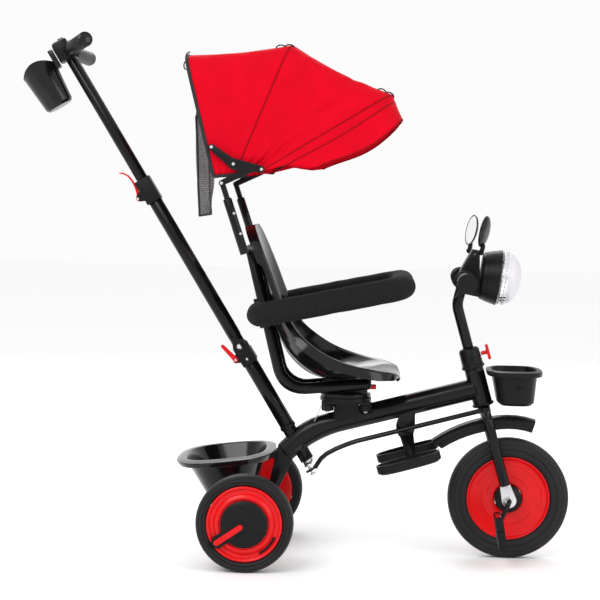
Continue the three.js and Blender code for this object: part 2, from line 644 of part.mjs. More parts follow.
// Seat surface from the top of the back to the front lip: centre line, side rim and half width.
const SEAT_STATIONS = [
  { c: [-84, 652], r: [-80, 656], w: 60 }, { c: [-80, 636], r: [-73, 640], w: 98 },
  { c: [-72, 604], r: [-59, 607], w: 118 }, { c: [-62, 560], r: [-42, 566], w: 122 },
  { c: [-51, 515], r: [-25, 522], w: 124 }, { c: [-39, 470], r: [-8, 482], w: 126 },
  { c: [-24, 428], r: [12, 452], w: 133 }, { c: [-4, 395], r: [37, 430], w: 146 },
  { c: [26, 369], r: [66, 411], w: 148 }, { c: [62, 357], r: [98, 397], w: 147 },
  { c: [105, 358], r: [134, 387], w: 142 }, { c: [146, 362], r: [164, 381], w: 132 },
  { c: [182, 367], r: [190, 376], w: 112 }, { c: [203, 365], r: [205, 370], w: 86 },
  { c: [211, 357], r: [211, 359], w: 60 }];

function seatShell() {
  const shares = [0, 0.35, 0.6, 0.8, 0.92, 1];
  const half = (inset) => SEAT_STATIONS.map((s, i) => {
    const a = SEAT_STATIONS[Math.max(0, i - 1)].c;
    const b = SEAT_STATIONS[Math.min(SEAT_STATIONS.length - 1, i + 1)].c;
    const n = new THREE.Vector2(a[1] - b[1], b[0] - a[0]).normalize();
    const drop = i > 2 && i < 7 ? 13 : 20;
    const pts = shares.map((u) => V(lerp(s.c[0], s.r[0], u ** 3) - n.x * inset, s.w * u,
      lerp(s.c[1], s.r[1], u ** 3) - n.y * inset));
    pts.push(V(s.r[0] - n.x * (3 + inset), s.w + 9 - inset, s.r[1] - n.y * (3 + inset)));
    pts.push(V(s.r[0] - n.x * drop, s.w + 11 - inset, s.r[1] - n.y * drop));
    return pts;
  });
  const full = (inset) => half(inset).map((row) =>
    [...row.slice(1).reverse().map((p) => V(p.x, -p.y, p.z)), ...row]);
  return shell(full(0), full(3));
}

const UPRIGHT = { bottom: [-19.6, 329.3], top: [-88, 603.6], front: [146, 344.2], y: 40 };

function seatFrameTube(side) {
  const y = UPRIGHT.y * side;
  const at = ([x, z]) => [x, y, z];
  return sweep(bent([at(UPRIGHT.front), at(UPRIGHT.bottom), at(UPRIGHT.top)], 55, 6), 11, { sides: 14 });
}

function seatBase() {
  const saddle = box(80, 130, -22, 22, 272, 306);
  const plate = box(56, 152, -46, 46, 304, 308.7);
  return cut(union(saddle, plate), mainSolid(GAP));
}

const starKnob = (x, y) => {
  const lobes = new THREE.Shape(Array.from({ length: 24 }, (_, i) => {
    const a = (i / 24) * 2 * Math.PI;
    const r = 10.5 + 1.5 * Math.cos(6 * a);
    return new THREE.Vector2(r * Math.cos(a), r * Math.sin(a));
  }));
  const g = new THREE.ExtrudeGeometry(lobes, { depth: 12, bevelEnabled: false });
  g.translate(x, y, 290);
  return union(g, rod([x, y, 300], [x, y, 306], 6, { sides: 10 }));
};

// Armrest loop around the child: rear ends turn inward to the seat uprights.
const LOOP = { rear: -66, front: 212, y: 162, rearZ: 484, frontZ: 542 };
const loopPath = (end) => bent([[LOOP.rear, -end, LOOP.rearZ], [LOOP.rear, -LOOP.y, LOOP.rearZ],
  [LOOP.front, -LOOP.y, LOOP.frontZ], [LOOP.front, LOOP.y, LOOP.frontZ], [LOOP.rear, LOOP.y, LOOP.rearZ],
  [LOOP.rear, end, LOOP.rearZ]], [40, 58, 58, 40], 4);

const POST = { x: -94.5, z: 609, y: 172, lean: 18.6 };
const postAt = (distance) => [POST.x - distance * Math.sin(rad(POST.lean)),
  POST.z + distance * Math.cos(rad(POST.lean))];

function armrestClamp(side) {
  const y0 = side > 0 ? 46 : -66;
  return plateXZ([[-66, 452], [-46, 457], [-61, 514], [-81, 509]], y0, y0 + 20);
}

// Welded seat frame: two bent tubes, the mount, the armrest clamps, the crossbar and the canopy posts.
function seatFrame() {
  const cross = bent([[-94.5, -POST.y, 609], [-98, -140, 606],
    [-98, 140, 606], [-94.5, POST.y, 609]], 12, 3);
  const pieces = [box(60, 146, -31, 31, 323.7, 352.5), sweep(cross, 7, { sides: 10 })];
  const bores = [box(130, 150, -10, 10, 330, 341)];
  for (const side of [-1, 1]) {
    const y = POST.y * side;
    const at = (distance) => [postAt(distance)[0], y, postAt(distance)[1]];
    pieces.push(seatFrameTube(side), armrestClamp(side), rod(at(-8), at(102), 8.2));
    bores.push(rod(at(12), at(104), 6));
  }
  return cut(union(...pieces), ...bores);
}

function seatNodes() {
  const disc = turnedZ([[0, 308], [51, 308], [51, 315], [0, 315]], 32);
  const knobs = [68, 143].flatMap((x) => [-34, 34].map((y) => starKnob(x, y)));
  add(tricycle, "seat_base", union(seatBase(), disc.translate(SEAT.x, 0, 0), ...knobs), PLASTIC());
  add(tricycle, "turntable_top", turnedZ([[0, 315.8], [50, 315.8], [50, 323.4], [0, 323.4]], 32)
    .translate(SEAT.x, 0, 0), PLASTIC());
  add(tricycle, "seat_frame", seatFrame(), PAINT());
  add(tricycle, "swivel_lock_tab", box(134, 163.5, -9, 9, 331, 340), RED());
  add(tricycle, "seat_shell", seatShell(), GLOSS());
  add(tricycle, "armrest_tube", sweep(loopPath(66.3), 9, { sides: 10 }), PAINT());
  add(tricycle, "armrest_foam", sweep(loopPath(84), 22, { sides: 12, bore: 9.4 }), FOAM());
}

// ---------------------------------------------------------------- canopy
// One hoop of the canopy: up the side from foot to tip, across the top and down again.
function hoop(foot, tip, half, inset = 0, corner = 48) {
  const f = V(foot[0], 0, foot[1]);
  const t = V(tip[0], 0, tip[1]);
  const length = f.distanceTo(t) - inset;
  const up = t.clone().sub(f).normalize();
  const w = half - inset;
  const r = Math.min(corner, length * 0.6);
  const side = [[0, w], [(length - r) * 0.5, w - 1.5], [length - r, w - 3]];
  const bend = [1, 2, 3].map((k) => {
    const a = (k / 3) * (Math.PI / 2);
    return [length - r + r * Math.sin(a), w - 3 - r + r * Math.cos(a)];
  });
  const top = [[length + 4, (w - r) / 2]];
  const oneSide = [...side, ...bend, ...top];
  const loop = [...oneSide.map(([s, y]) => [s, -y]), [length + 5, 0], ...oneSide.reverse()];
  return loop.map(([s, y]) => f.clone().addScaledVector(up, s).setY(y));
}

const CANOPY = {
  rear: { foot: [-153, 747], tip: [-212, 977], half: 178 },
  mid: { foot: [-114, 751], tip: [-12, 1000], half: 178 },
  front: { foot: [-66, 758], tip: [180, 909], half: 178 },
  lip: { foot: [4, 768], tip: [200, 863], half: 177 },
};

function canopyPanel(a, b, from, to, rows, thickness = 2) {
  const grid = (inset) => Array.from({ length: rows + 1 }, (_, i) => {
    const t = lerp(from, to, i / rows);
    const mix = (p, q) => [lerp(p[0], q[0], t), lerp(p[1], q[1], t)];
    return hoop(mix(a.foot, b.foot), mix(a.tip, b.tip), lerp(a.half, b.half, t), inset);
  });
  return shell(grid(0), grid(thickness));
}

function canopyRib(rib, share) {
  const foot = [lerp(rib.foot[0], rib.tip[0], share), lerp(rib.foot[1], rib.tip[1], share)];
  return sweep(hoop(foot, rib.tip, rib.half, 5.5), 2.2, { sides: 8 });
}

function canopyHub(side) {
  const link = (a, b, r0, r1, y0, y1) => {
    const [lo, hi] = [Math.min(y0 * side, y1 * side), Math.max(y0 * side, y1 * side)];
    return plateXZ(linkOutline(a[0], a[1], r0, b[0], b[1], r1, 5), lo, hi);
  };
  const [rear, centre, front, low] = [[-157.6, 803], [-115.5, 771.6], [-62, 762.5], [-137.6, 735.3]];
  return union(link(rear, centre, 6, 9, 182.8, 186.5), link(centre, front, 11, 6.5, 182.8, 186.5),
    link(low, [-84, 762], 5.5, 7, 179, 183));
}

function canopyNodes() {
  for (const [name, side] of SIDES) {
    const y = POST.y * side;
    const at = (distance) => [postAt(distance)[0], y, postAt(distance)[1]];
    const rivet = rod([-137.6, 168 * side, 735.3], [-137.6, 184 * side, 735.3], 5);
    const arm = union(rod(at(45), at(133), 5.5), rivet, canopyHub(side));
    add(tricycle, `canopy_arm_${name}`, arm, PLASTIC());
  }
  add(tricycle, "canopy_rear_panel", canopyPanel(CANOPY.rear, CANOPY.mid, 0, 0.99, 3), FABRIC());
  add(tricycle, "canopy_front_panel", canopyPanel(CANOPY.mid, CANOPY.front, 0.01, 0.99, 4), FABRIC());
  add(tricycle, "canopy_visor", canopyPanel(CANOPY.front, CANOPY.lip, 0.02, 1, 2), FABRIC());
  add(tricycle, "canopy_rib_rear", canopyRib(CANOPY.rear, 0.2), PAINT());
  add(tricycle, "canopy_rib_mid", canopyRib(CANOPY.mid, 0.08), PAINT());
  add(tricycle, "canopy_rib_front", canopyRib(CANOPY.front, 0.05), PAINT());
  const bag = [[-184, 862], [-203, 852], [-206, 790], [-202, 706], [-194, 672], [-165, 672],
    [-163, 740]];
  add(tricycle, "mesh_bag", plateXZ(bag, -128, 128), finish(0x55565a, 0.9));
}

frameNodes();
frontNodes();
frontWheel();
for (const [name, side] of SIDES) rearWheel(name, side);
lowerNodes();
poleLowerNodes();
poleUpperNodes();
add(tricycle, "steering_rod", steeringRod(), PAINT());
seatNodes();
canopyNodes();

export default tricycle;
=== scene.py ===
"""Looks of a children's tricycle with a push pole and a canopy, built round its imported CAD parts."""

import json
import math

import bpy
from mathutils import Matrix, Vector, noise

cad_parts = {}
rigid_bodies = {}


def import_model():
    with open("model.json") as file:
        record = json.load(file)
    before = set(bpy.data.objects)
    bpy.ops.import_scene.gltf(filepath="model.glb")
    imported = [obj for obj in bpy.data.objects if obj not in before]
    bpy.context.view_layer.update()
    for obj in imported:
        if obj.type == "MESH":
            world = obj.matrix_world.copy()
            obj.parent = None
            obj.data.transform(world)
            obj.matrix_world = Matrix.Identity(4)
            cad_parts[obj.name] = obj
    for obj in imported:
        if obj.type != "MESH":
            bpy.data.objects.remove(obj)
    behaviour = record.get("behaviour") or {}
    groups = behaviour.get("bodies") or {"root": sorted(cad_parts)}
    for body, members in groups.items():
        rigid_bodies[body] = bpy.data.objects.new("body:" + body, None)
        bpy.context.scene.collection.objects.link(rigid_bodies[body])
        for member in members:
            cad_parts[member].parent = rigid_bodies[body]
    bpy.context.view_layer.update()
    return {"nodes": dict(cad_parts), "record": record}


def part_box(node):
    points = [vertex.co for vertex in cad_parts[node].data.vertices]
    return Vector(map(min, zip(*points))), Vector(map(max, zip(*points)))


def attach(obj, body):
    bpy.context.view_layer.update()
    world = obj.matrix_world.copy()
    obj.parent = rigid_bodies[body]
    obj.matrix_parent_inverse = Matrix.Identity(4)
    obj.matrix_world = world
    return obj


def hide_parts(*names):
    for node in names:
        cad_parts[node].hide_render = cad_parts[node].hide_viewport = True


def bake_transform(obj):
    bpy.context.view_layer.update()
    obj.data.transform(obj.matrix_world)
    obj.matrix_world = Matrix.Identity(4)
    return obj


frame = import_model()
JOINT = {j["name"]: j for j in frame["record"]["behaviour"]["joints"]}
rad = math.radians
SIDES = (("right", -1), ("left", 1))


def mm(x, y, z):
    """A place in the shared frame, given in millimetres."""
    return Vector((x, y, z)) / 1000


def pivot(joint):
    return Vector(JOINT[joint]["pos_m"])


def tilted(origin, degrees):
    """Local axes of a leaning piece: its own Z is the leaning axis."""
    return Matrix.Translation(origin) @ Matrix.Rotation(rad(degrees), 4, "Y")


STEER_TILT = -16.0
POLE_TILT = -31.5
FRONT = pivot("steer")
STEER = tilted(FRONT, STEER_TILT)
POLE = tilted(pivot("pole_turn"), POLE_TILT)
LAMP = tilted(mm(401, 0, 558.5), 7)

# ---------------------------------------------------------------- materials


def socket(node, name, value):
    node.inputs[name].default_value = value


def material(name, colour, rough, metal=0.0, coat=0.0, vary=0.12, grain=900.0, bump=0.0, shine=0.5,
             depth=0.0006, patch=22.0):
    """Principled surface whose colour, roughness and relief shift gently with noise."""
    m = bpy.data.materials.new(name)
    m.use_nodes = True
    tree = m.node_tree
    shader = tree.nodes["Principled BSDF"]
    socket(shader, "Metallic", metal)
    socket(shader, "Coat Weight", coat)
    socket(shader, "Coat Roughness", 0.12)
    socket(shader, "Specular IOR Level", shine)
    place = tree.nodes.new("ShaderNodeTexCoord")
    blotch = tree.nodes.new("ShaderNodeTexNoise")
    socket(blotch, "Scale", patch)
    socket(blotch, "Detail", 5.0)
    tree.links.new(place.outputs["Object"], blotch.inputs["Vector"])
    tint = tree.nodes.new("ShaderNodeValToRGB")
    for stop, share in zip(tint.color_ramp.elements, (1 - vary, 1 + vary)):
        stop.color = (*[min(1, c * share) for c in colour], 1)
    tint.color_ramp.elements[0].position = 0.3
    tint.color_ramp.elements[1].position = 0.7
    tree.links.new(blotch.outputs["Fac"], tint.inputs["Fac"])
    tree.links.new(tint.outputs["Color"], shader.inputs["Base Color"])
    spread = tree.nodes.new("ShaderNodeMapRange")
    socket(spread, "To Min", max(0.02, rough - 0.05))
    socket(spread, "To Max", min(1, rough + 0.05))
    tree.links.new(blotch.outputs["Fac"], spread.inputs["Value"])
    tree.links.new(spread.outputs["Result"], shader.inputs["Roughness"])
    if bump:
        fine = tree.nodes.new("ShaderNodeTexNoise")
        socket(fine, "Scale", grain)
        socket(fine, "Detail", 3.0)
        tree.links.new(place.outputs["Object"], fine.inputs["Vector"])
        relief = tree.nodes.new("ShaderNodeBump")
        socket(relief, "Strength", bump)
        socket(relief, "Distance", depth)
        tree.links.new(fine.outputs["Fac"], relief.inputs["Height"])
        tree.links.new(relief.outputs["Normal"], shader.inputs["Normal"])
    return m


PAINT = material("black powder coat", (0.004, 0.004, 0.005), 0.2, coat=0.06, grain=1500, bump=0.05,
                 shine=0.17)
PLASTIC = material("black moulding", (0.006, 0.006, 0.007), 0.38, grain=1800, bump=0.12, shine=0.15)
GLOSS = material("gloss black moulding", (0.004, 0.004, 0.005), 0.16, coat=0.08, grain=700, bump=0.03,
                 shine=0.28)
GREY = material("dark grey moulding", (0.014, 0.014, 0.016), 0.45, grain=1500, bump=0.1, shine=0.3)
RED = material("red moulding", (0.62, 0.002, 0.004), 0.3, coat=0.1, vary=0.06, grain=900, bump=0.04,
               shine=0.2)
TYRE = material("tyre rubber", (0.011, 0.011, 0.012), 0.55, grain=1300, bump=0.2, shine=0.22)
# Armrest foam: the strong fine colour speckle (vary 0.8 at patch scale 520) is painted highlight. Its lighter
# specks stand in for light caught by the foam's dimpled texture. The bump itself is real relief.
FOAM = material("armrest foam", (0.008, 0.008, 0.009), 0.85, vary=0.8, grain=420, bump=1.0, shine=0.18,
                depth=0.0022, patch=520.0)
FABRIC = material("canopy cloth", (0.55, 0.001, 0.011), 0.75, vary=0.06, grain=2600, bump=0.35, shine=0.05)
SEWN = material("sewn seam", (0.26, 0.001, 0.005), 0.8, vary=0.06, grain=2600, bump=0.3, shine=0.1)
EDGING = material("black tape", (0.015, 0.015, 0.017), 0.7, grain=2600, bump=0.3, shine=0.3)
STEEL = material("zinc plated steel", (0.62, 0.62, 0.64), 0.3, metal=1.0, grain=500, bump=0.05)
CHROME = material("lamp reflector", (0.8, 0.81, 0.83), 0.14, metal=1.0, vary=0.1)
MIRROR = material("mirror glass", (0.9, 0.91, 0.93), 0.05, metal=1.0, vary=0.03)
REFLECTOR = material("red reflector", (0.55, 0.004, 0.006), 0.18, coat=0.6, grain=400, bump=0.3)
DOME = material("lamp dome", (0.68, 0.66, 0.7), 0.12, coat=0.4, vary=0.06)
NET = material("bag net", (0.1, 0.1, 0.105), 0.85, vary=0.2, grain=900, bump=0.4, shine=0.2)
socket(DOME.node_tree.nodes["Principled BSDF"], "Alpha", 0.8)


def make_net(m):
    """Opens a fine square mesh in the net's surface."""
    tree = m.node_tree
    place = tree.nodes["Texture Coordinate"]
    threads = []
    for axis in ("Y", "Z"):
        wave = tree.nodes.new("ShaderNodeTexWave")
        wave.bands_direction = axis
        socket(wave, "Scale", 90.0)
        tree.links.new(place.outputs["Object"], wave.inputs["Vector"])
        threads.append(wave)
    either = tree.nodes.new("ShaderNodeMath")
    either.operation = "MAXIMUM"
    for i, wave in enumerate(threads):
        tree.links.new(wave.outputs["Fac"], either.inputs[i])
    soft = tree.nodes.new("ShaderNodeMapRange")
    socket(soft, "To Min", 0.25)
    socket(soft, "To Max", 0.85)
    tree.links.new(either.outputs[0], soft.inputs["Value"])
    tree.links.new(soft.outputs["Result"], tree.nodes["Principled BSDF"].inputs["Alpha"])


make_net(NET)

# ---------------------------------------------------------------- shaping tools


def crease_group(degrees):
    """Node group that shades smoothly and keeps edges sharper than the angle."""
    name = f"smooth below {degrees}"
    if name in bpy.data.node_groups:
        return bpy.data.node_groups[name]
    g = bpy.data.node_groups.new(name, "GeometryNodeTree")
    g.interface.new_socket("Geometry", in_out="INPUT", socket_type="NodeSocketGeometry")
    g.interface.new_socket("Geometry", in_out="OUTPUT", socket_type="NodeSocketGeometry")
    start = g.nodes.new("NodeGroupInput")
    end = g.nodes.new("NodeGroupOutput")
    plain = g.nodes.new("GeometryNodeRemoveAttribute")
    plain.inputs["Name"].default_value = "custom_normal"
    smooth = g.nodes.new("GeometryNodeSetShadeSmooth")
    sharp = g.nodes.new("GeometryNodeSetShadeSmooth")
    sharp.domain = "EDGE"
    sharp.inputs["Shade Smooth"].default_value = False
    angle = g.nodes.new("GeometryNodeInputMeshEdgeAngle")
    over = g.nodes.new("FunctionNodeCompare")
    over.operation = "GREATER_THAN"
    over.inputs["B"].default_value = rad(degrees)
    g.links.new(angle.outputs["Unsigned Angle"], over.inputs["A"])
    g.links.new(over.outputs["Result"], sharp.inputs["Selection"])
    g.links.new(start.outputs[0], plain.inputs["Geometry"])
    g.links.new(plain.outputs["Geometry"], smooth.inputs["Geometry"])
    g.links.new(smooth.outputs["Geometry"], sharp.inputs["Geometry"])
    g.links.new(sharp.outputs["Geometry"], end.inputs[0])
    return g


def smooth(obj, degrees=40):
    obj.modifiers.new("smooth", "NODES").node_group = crease_group(degrees)
    return obj


def piece(name, verts, faces, mat, body, stands_for=(), place=None, bevel=0.0, degrees=40):
    """A finished mesh riding on a CAD body."""
    name = name.replace(" ", "_")
    mesh = bpy.data.meshes.new(name)
    mesh.from_pydata([tuple(v) for v in verts], [], faces)
    if place is not None:
        mesh.transform(place)
    mesh.validate()
    mesh.materials.append(mat)
    obj = bpy.data.objects.new(name, mesh)
    bpy.context.scene.collection.objects.link(obj)
    if bevel:
        edge = obj.modifiers.new("edge", "BEVEL")
        edge.width = bevel
        edge.segments = 2
        edge.limit_method = "ANGLE"
        edge.angle_limit = rad(35)
    smooth(obj, degrees)
    if body:
        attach(obj, body)
    if stands_for:
        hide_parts(*([stands_for] if isinstance(stands_for, str) else stands_for))
    return obj


def rounded(points, radius, steps=8, closed=False):
    """A run of straight lines with round bends; radius is one value or one for each bend."""
    pts = [Vector(p) for p in points]
    count = len(pts)
    bends = range(count) if closed else range(1, count - 1)
    out = [] if closed else [pts[0]]
    for n, i in enumerate(bends):
        here = pts[i]
        back = pts[i - 1] - here
        on = pts[(i + 1) % count] - here
        r = radius[n] if hasattr(radius, "__len__") else radius
        half = back.angle(on) / 2
        reach = min(r / math.tan(half), back.length * 0.49, on.length * 0.49) if half < 1.56 else 0
        a = here + back.normalized() * reach
        b = here + on.normalized() * reach
        for k in range(steps + 1):
            t = k / steps
            out.append(a * (1 - t) ** 2 + here * (2 * t * (1 - t)) + b * t ** 2)
    if not closed:
        out.append(pts[-1])
    return out


def grid_faces(rows, columns, wrap=False, ring=False):
    """Quads over a grid of points; wrap closes each row, ring closes the rows on each other."""
    faces = []
    for i in range(rows if ring else rows - 1):
        for j in range(columns if wrap else columns - 1):
            j2 = (j + 1) % columns
            i2 = (i + 1) % rows
            faces.append((i * columns + j, i * columns + j2, i2 * columns + j2, i2 * columns + j))
    return faces


def tube(name, path, radius, mat, body, stands_for=(), place=None, sides=24, rough=0.0, closed=False):
    """Round bar along a path, with rounded ends; rough adds soft lumps for foam."""
    pts = [Vector(p) for p in path]
    if not closed:
        tip = min(radius * 0.25, 0.002)
        first = pts[0] + (pts[1] - pts[0]).normalized() * tip
        last = pts[-1] + (pts[-2] - pts[-1]).normalized() * tip
        pts = [pts[0], first, *pts[1:-1], last, pts[-1]]
    count = len(pts)
    side = None
    verts = []
    for i, p in enumerate(pts):
        ahead = pts[(i + 1) % count] if closed or i < count - 1 else p
        behind = pts[i - 1] if closed or i else p
        along = (ahead - behind).normalized()
        side = along.orthogonal() if side is None else side - along * side.dot(along)
        side.normalize()
        up = along.cross(side)
        r = radius * (0.86 if not closed and i in (0, count - 1) else 1)
        for k in range(sides):
            a = math.tau * k / sides
            ray = side * math.cos(a) + up * math.sin(a)
            lump = 1 + rough * noise.noise((p + ray * r) * 45) if rough else 1
            verts.append(p + ray * r * lump)
    faces = grid_faces(count, sides, wrap=True, ring=closed)
    if not closed:
        faces.append(tuple(reversed(range(sides))))
        faces.append(tuple(range((count - 1) * sides, count * sides)))
    return piece(name, verts, faces, mat, body, stands_for, place, degrees=50)


def turned(name, profile, centre, mat, body, stands_for=(), axis="Y", segments=72, soften=0.0008, place=None,
           shape=None):
    """Closed profile of (radius, height) in metres turned about an axis; shape may press the round plan."""
    corners = [Vector((r, h, 0)) for r, h in profile]
    on_axis = profile[0][0] == 0
    line = rounded(corners, soften, 3, closed=not on_axis)
    verts = []
    for p in line:
        for k in range(segments):
            a = math.tau * k / segments
            x, y = p.x * math.cos(a), p.x * math.sin(a)
            if shape:
                verts.append(shape(a, p.x, p.y))
            elif axis == "Y":
                verts.append(Vector((x, p.y, y)) + centre)
            elif axis == "X":
                verts.append(Vector((p.y, x, y)) + centre)
            else:
                verts.append(Vector((x, y, p.y)) + centre)
    faces = grid_faces(len(line), segments, wrap=True, ring=not on_axis)
    obj = piece(name, verts, faces, mat, body, stands_for, place, degrees=50)
    if on_axis:
        weld = obj.modifiers.new("join", "WELD")
        weld.merge_threshold = 1e-6
        obj.modifiers.move(len(obj.modifiers) - 1, 0)
    return obj


def plate(name, outline, y0, y1, mat, body, stands_for=(), place=None, bevel=0.0012):
    """Outline in X and Z in metres, extruded along Y."""
    count = len(outline)
    verts = [Vector((x, y, z)) for y in (y0, y1) for x, z in outline]
    faces = [tuple(range(count)), tuple(reversed(range(count, 2 * count)))]
    faces += [((i + 1) % count, i, count + i, count + (i + 1) % count) for i in range(count)]
    return piece(name, verts, faces, mat, body, stands_for, place, bevel)


def block(name, low, high, mat, body, stands_for=(), place=None, bevel=0.0015):
    outline = [(low.x, low.z), (high.x, low.z), (high.x, high.z), (low.x, high.z)]
    return plate(name, outline, low.y, high.y, mat, body, stands_for, place, bevel)


def dress(node, mat, bevel=0.0008, degrees=40):
    """A CAD node shown as it is, with softened edges and its own finish."""
    obj = frame["nodes"][node]
    obj.data.materials.clear()
    obj.data.materials.append(mat)
    weld = obj.modifiers.new("weld", "WELD")
    weld.merge_threshold = 1e-5
    flat = obj.modifiers.new("flat", "DECIMATE")
    flat.decimate_type = "DISSOLVE"
    flat.angle_limit = rad(1)
    if bevel:
        edge = obj.modifiers.new("edge", "BEVEL")
        edge.width = bevel
        edge.segments = 2
        edge.limit_method = "ANGLE"
        edge.angle_limit = rad(degrees - 4)
    smooth(obj, degrees)
    return obj


def screw(name, at, along, radius, mat, body):
    """Domed screw or rivet head standing on a surface."""
    turn = Vector(along).to_track_quat("Z", "Y").to_matrix().to_4x4()
    dome = [(0, radius * 0.55), (radius * 0.55, radius * 0.45), (radius, 0.0), (radius, -radius * 0.4),
            (0, -radius * 0.4)]
    return turned(name, dome, Vector(), mat, body, axis="Z", segments=20, soften=radius * 0.2,
                  place=Matrix.Translation(at) @ turn)

# ---------------------------------------------------------------- wheels


def size_of(node):
    low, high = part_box(node)
    return (low + high) / 2, high - low


def tyre(node, body):
    """Tyre with side grooves, a rounded shoulder and a shallow tread line."""
    centre, size = size_of(node)
    r, half = size.x / 2, size.y / 2
    bead = r - (0.0375 if "front" in node else 0.0205)
    band = r - bead
    side = [(bead, 0.62 * half), (bead + 0.10 * band, 0.80 * half), (bead + 0.3 * band, 0.93 * half),
            (bead + 0.34 * band, 0.87 * half), (bead + 0.39 * band, 0.87 * half),
            (bead + 0.43 * band, 0.97 * half), (bead + 0.62 * band, half), (bead + 0.66 * band, 0.93 * half),
            (bead + 0.70 * band, 0.93 * half), (bead + 0.74 * band, 0.97 * half),
            (r - 0.06 * band, 0.74 * half), (r, 0.38 * half), (r, 0.07 * half), (r - 0.0012, 0.04 * half)]
    profile = side + [(a, -h) for a, h in reversed(side)]
    turned(node + " rubber", profile, centre, TYRE, body, node, segments=96, soften=0.0012)


def arc_rib(name, centre, radius, y, start, end, thick, mat, body):
    steps = 24
    path = []
    for i in range(steps + 1):
        a = rad(start + (end - start) * i / steps)
        path.append(centre + Vector((radius * math.cos(a), y, radius * math.sin(a))))
    return tube(name, path, thick, mat, body, sides=10)


def front_wheel():
    tyre("front_tyre", "front_wheel")
    centre, size = size_of("front_disc")
    r = size.x / 2
    hub = size_of("front_hub")[1].x / 2
    half = size.y / 2
    side = [(hub + 0.0004, 0.62 * half), (0.034, 0.6 * half), (0.050, 0.5 * half), (0.066, 0.62 * half),
            (0.0765, 0.72 * half), (0.0795, half), (r, half)]
    turned("front disc moulding", side + [(a, -h) for a, h in reversed(side)], centre, RED, "front_wheel",
           "front_disc", segments=96, soften=0.004)
    arcs = ((0.0665, -8, 78, 0.6), (0.0665, 118, 158, 0.6), (0.060, 200, 232, 0.55), (0.0440, 22, 78, 0.52),
            (0.0440, 128, 172, 0.52), (0.054, 232, 330, 0.5), (0.0745, 20, 100, 0.68))
    for y in (-1, 1):
        for k, (radius, start, end, level) in enumerate(arcs):
            arc_rib(f"front disc arc {y} {k}", centre, radius, y * half * level, start, end, 0.0012, RED,
                    "front_wheel")
    dress("front_hub", PLASTIC, 0.0015)
    dress("crank_axle", PAINT, 0, 60)
    for name, side in SIDES:
        pedal(name)
        out = Vector((0, side, 0))
        screw(f"front axle nut {name}", FRONT + out * 0.0385, out, 0.0085, STEEL, "steering")
        screw(f"front axle cap {name}", FRONT + out * 0.041, out, 0.0055, STEEL, "steering")


def pedal(name):
    """Pedal block with a ribbed tread and a reflector on each long edge."""
    hinge = pivot(f"pedal_{name}_spin")
    low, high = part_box(f"pedal_{name}")
    turn = Matrix.Translation(Vector((hinge.x, 0, hinge.z))) @ Matrix.Rotation(rad(81), 4, "Y")
    y0, y1 = low.y, high.y
    body = f"{name}_pedal"
    dress(f"pedal_{name}", PLASTIC, 0.0015)
    for face in (-1, 1):
        for k in range(6):
            y = y0 + (k + 0.7) * (y1 - y0) / 6.4
            block(f"pedal rib {name} {face} {k}", Vector((-0.025, y - 0.002, face * 0.0068 - 0.0009)),
                  Vector((0.025, y + 0.002, face * 0.0068 + 0.0009)), GREY, body, place=turn, bevel=0.0006)
        block(f"pedal reflector {name} {face}", Vector((face * 0.0305 - 0.0006, y0 + 0.012, -0.0045)),
              Vector((face * 0.0305 + 0.0006, y1 - 0.012, 0.0045)), REFLECTOR, body, place=turn, bevel=0.0004)


LEVER_ANGLE = 214.4  # the brake lever points down and back from the hub
GUARD_R = 0.012


def rear_wheel(name, side):
    body = f"{name}_rear_wheel"
    tyre(f"rear_tyre_{name}", body)
    centre = pivot(f"rear_wheel_{name}_spin")
    r = size_of(f"rear_tyre_{name}")[1].x / 2 - 0.0205 - 0.0003
    flip = [(0.0063, -0.026), (0.016, -0.026), (0.018, -0.014), (0.062, -0.014), (0.067, -0.017), (r, -0.016),
            (r, 0.0190), (0.0700, 0.0200), (0.0670, 0.0185), (0.0655, 0.0150), (0.0590, 0.0148),
            (0.0560, 0.0180), (0.0520, 0.0205), (0.0485, 0.0200), (0.0475, 0.0170), (0.0063, 0.0170)]
    turned(f"rear rim {name}", [(a, h * side) for a, h in flip], centre, RED, body, f"rear_wheel_{name}",
           segments=96, soften=0.0012)
    arc_rib(f"rear rim pocket {name}", centre, 0.0622, side * 0.0152, -62, -22, 0.0022, PLASTIC, body)
    dress(f"brake_cover_{name}", PLASTIC, 0.001)
    dress(f"brake_lever_{name}", RED, 0.0014)
    lean = rad(LEVER_ANGLE)
    guard = []
    for reach, turn in ((0.008, 90), (0.060, -90)):
        for k in range(13):
            a = lean + rad(turn + 15 * k)
            guard.append((reach * math.cos(lean) + GUARD_R * math.cos(a),
                          reach * math.sin(lean) + GUARD_R * math.sin(a)))
    plate(f"lever guard {name}", guard, *sorted((side * 0.0222, side * 0.0256)), PLASTIC, "frame",
          place=Matrix.Translation(centre), bevel=0.0006)
    for angle in (100, 330):
        a = rad(angle)
        at = centre + Vector((0.034 * math.cos(a), side * 0.0242, 0.034 * math.sin(a)))
        screw(f"hub screw {name} {angle}", at, (0, side, 0), 0.003, PLASTIC, "frame")
    flipper = JOINT[f"brake_lever_{name}_flip"]
    along = Vector(flipper["axis"]).cross(Vector((0, 1, 0))).normalized() * side
    start = pivot(f"brake_lever_{name}_flip")
    for k in range(4):
        at = start - along * (0.030 + 0.008 * k) * (1 if along.z > 0 else -1) + Vector((0, side * 0.0049, 0))
        screw(f"lever grip {name} {k}", at, (0, side, 0), 0.0016, RED, f"{name}_brake_lever")


# ---------------------------------------------------------------- frame, fork and handlebar


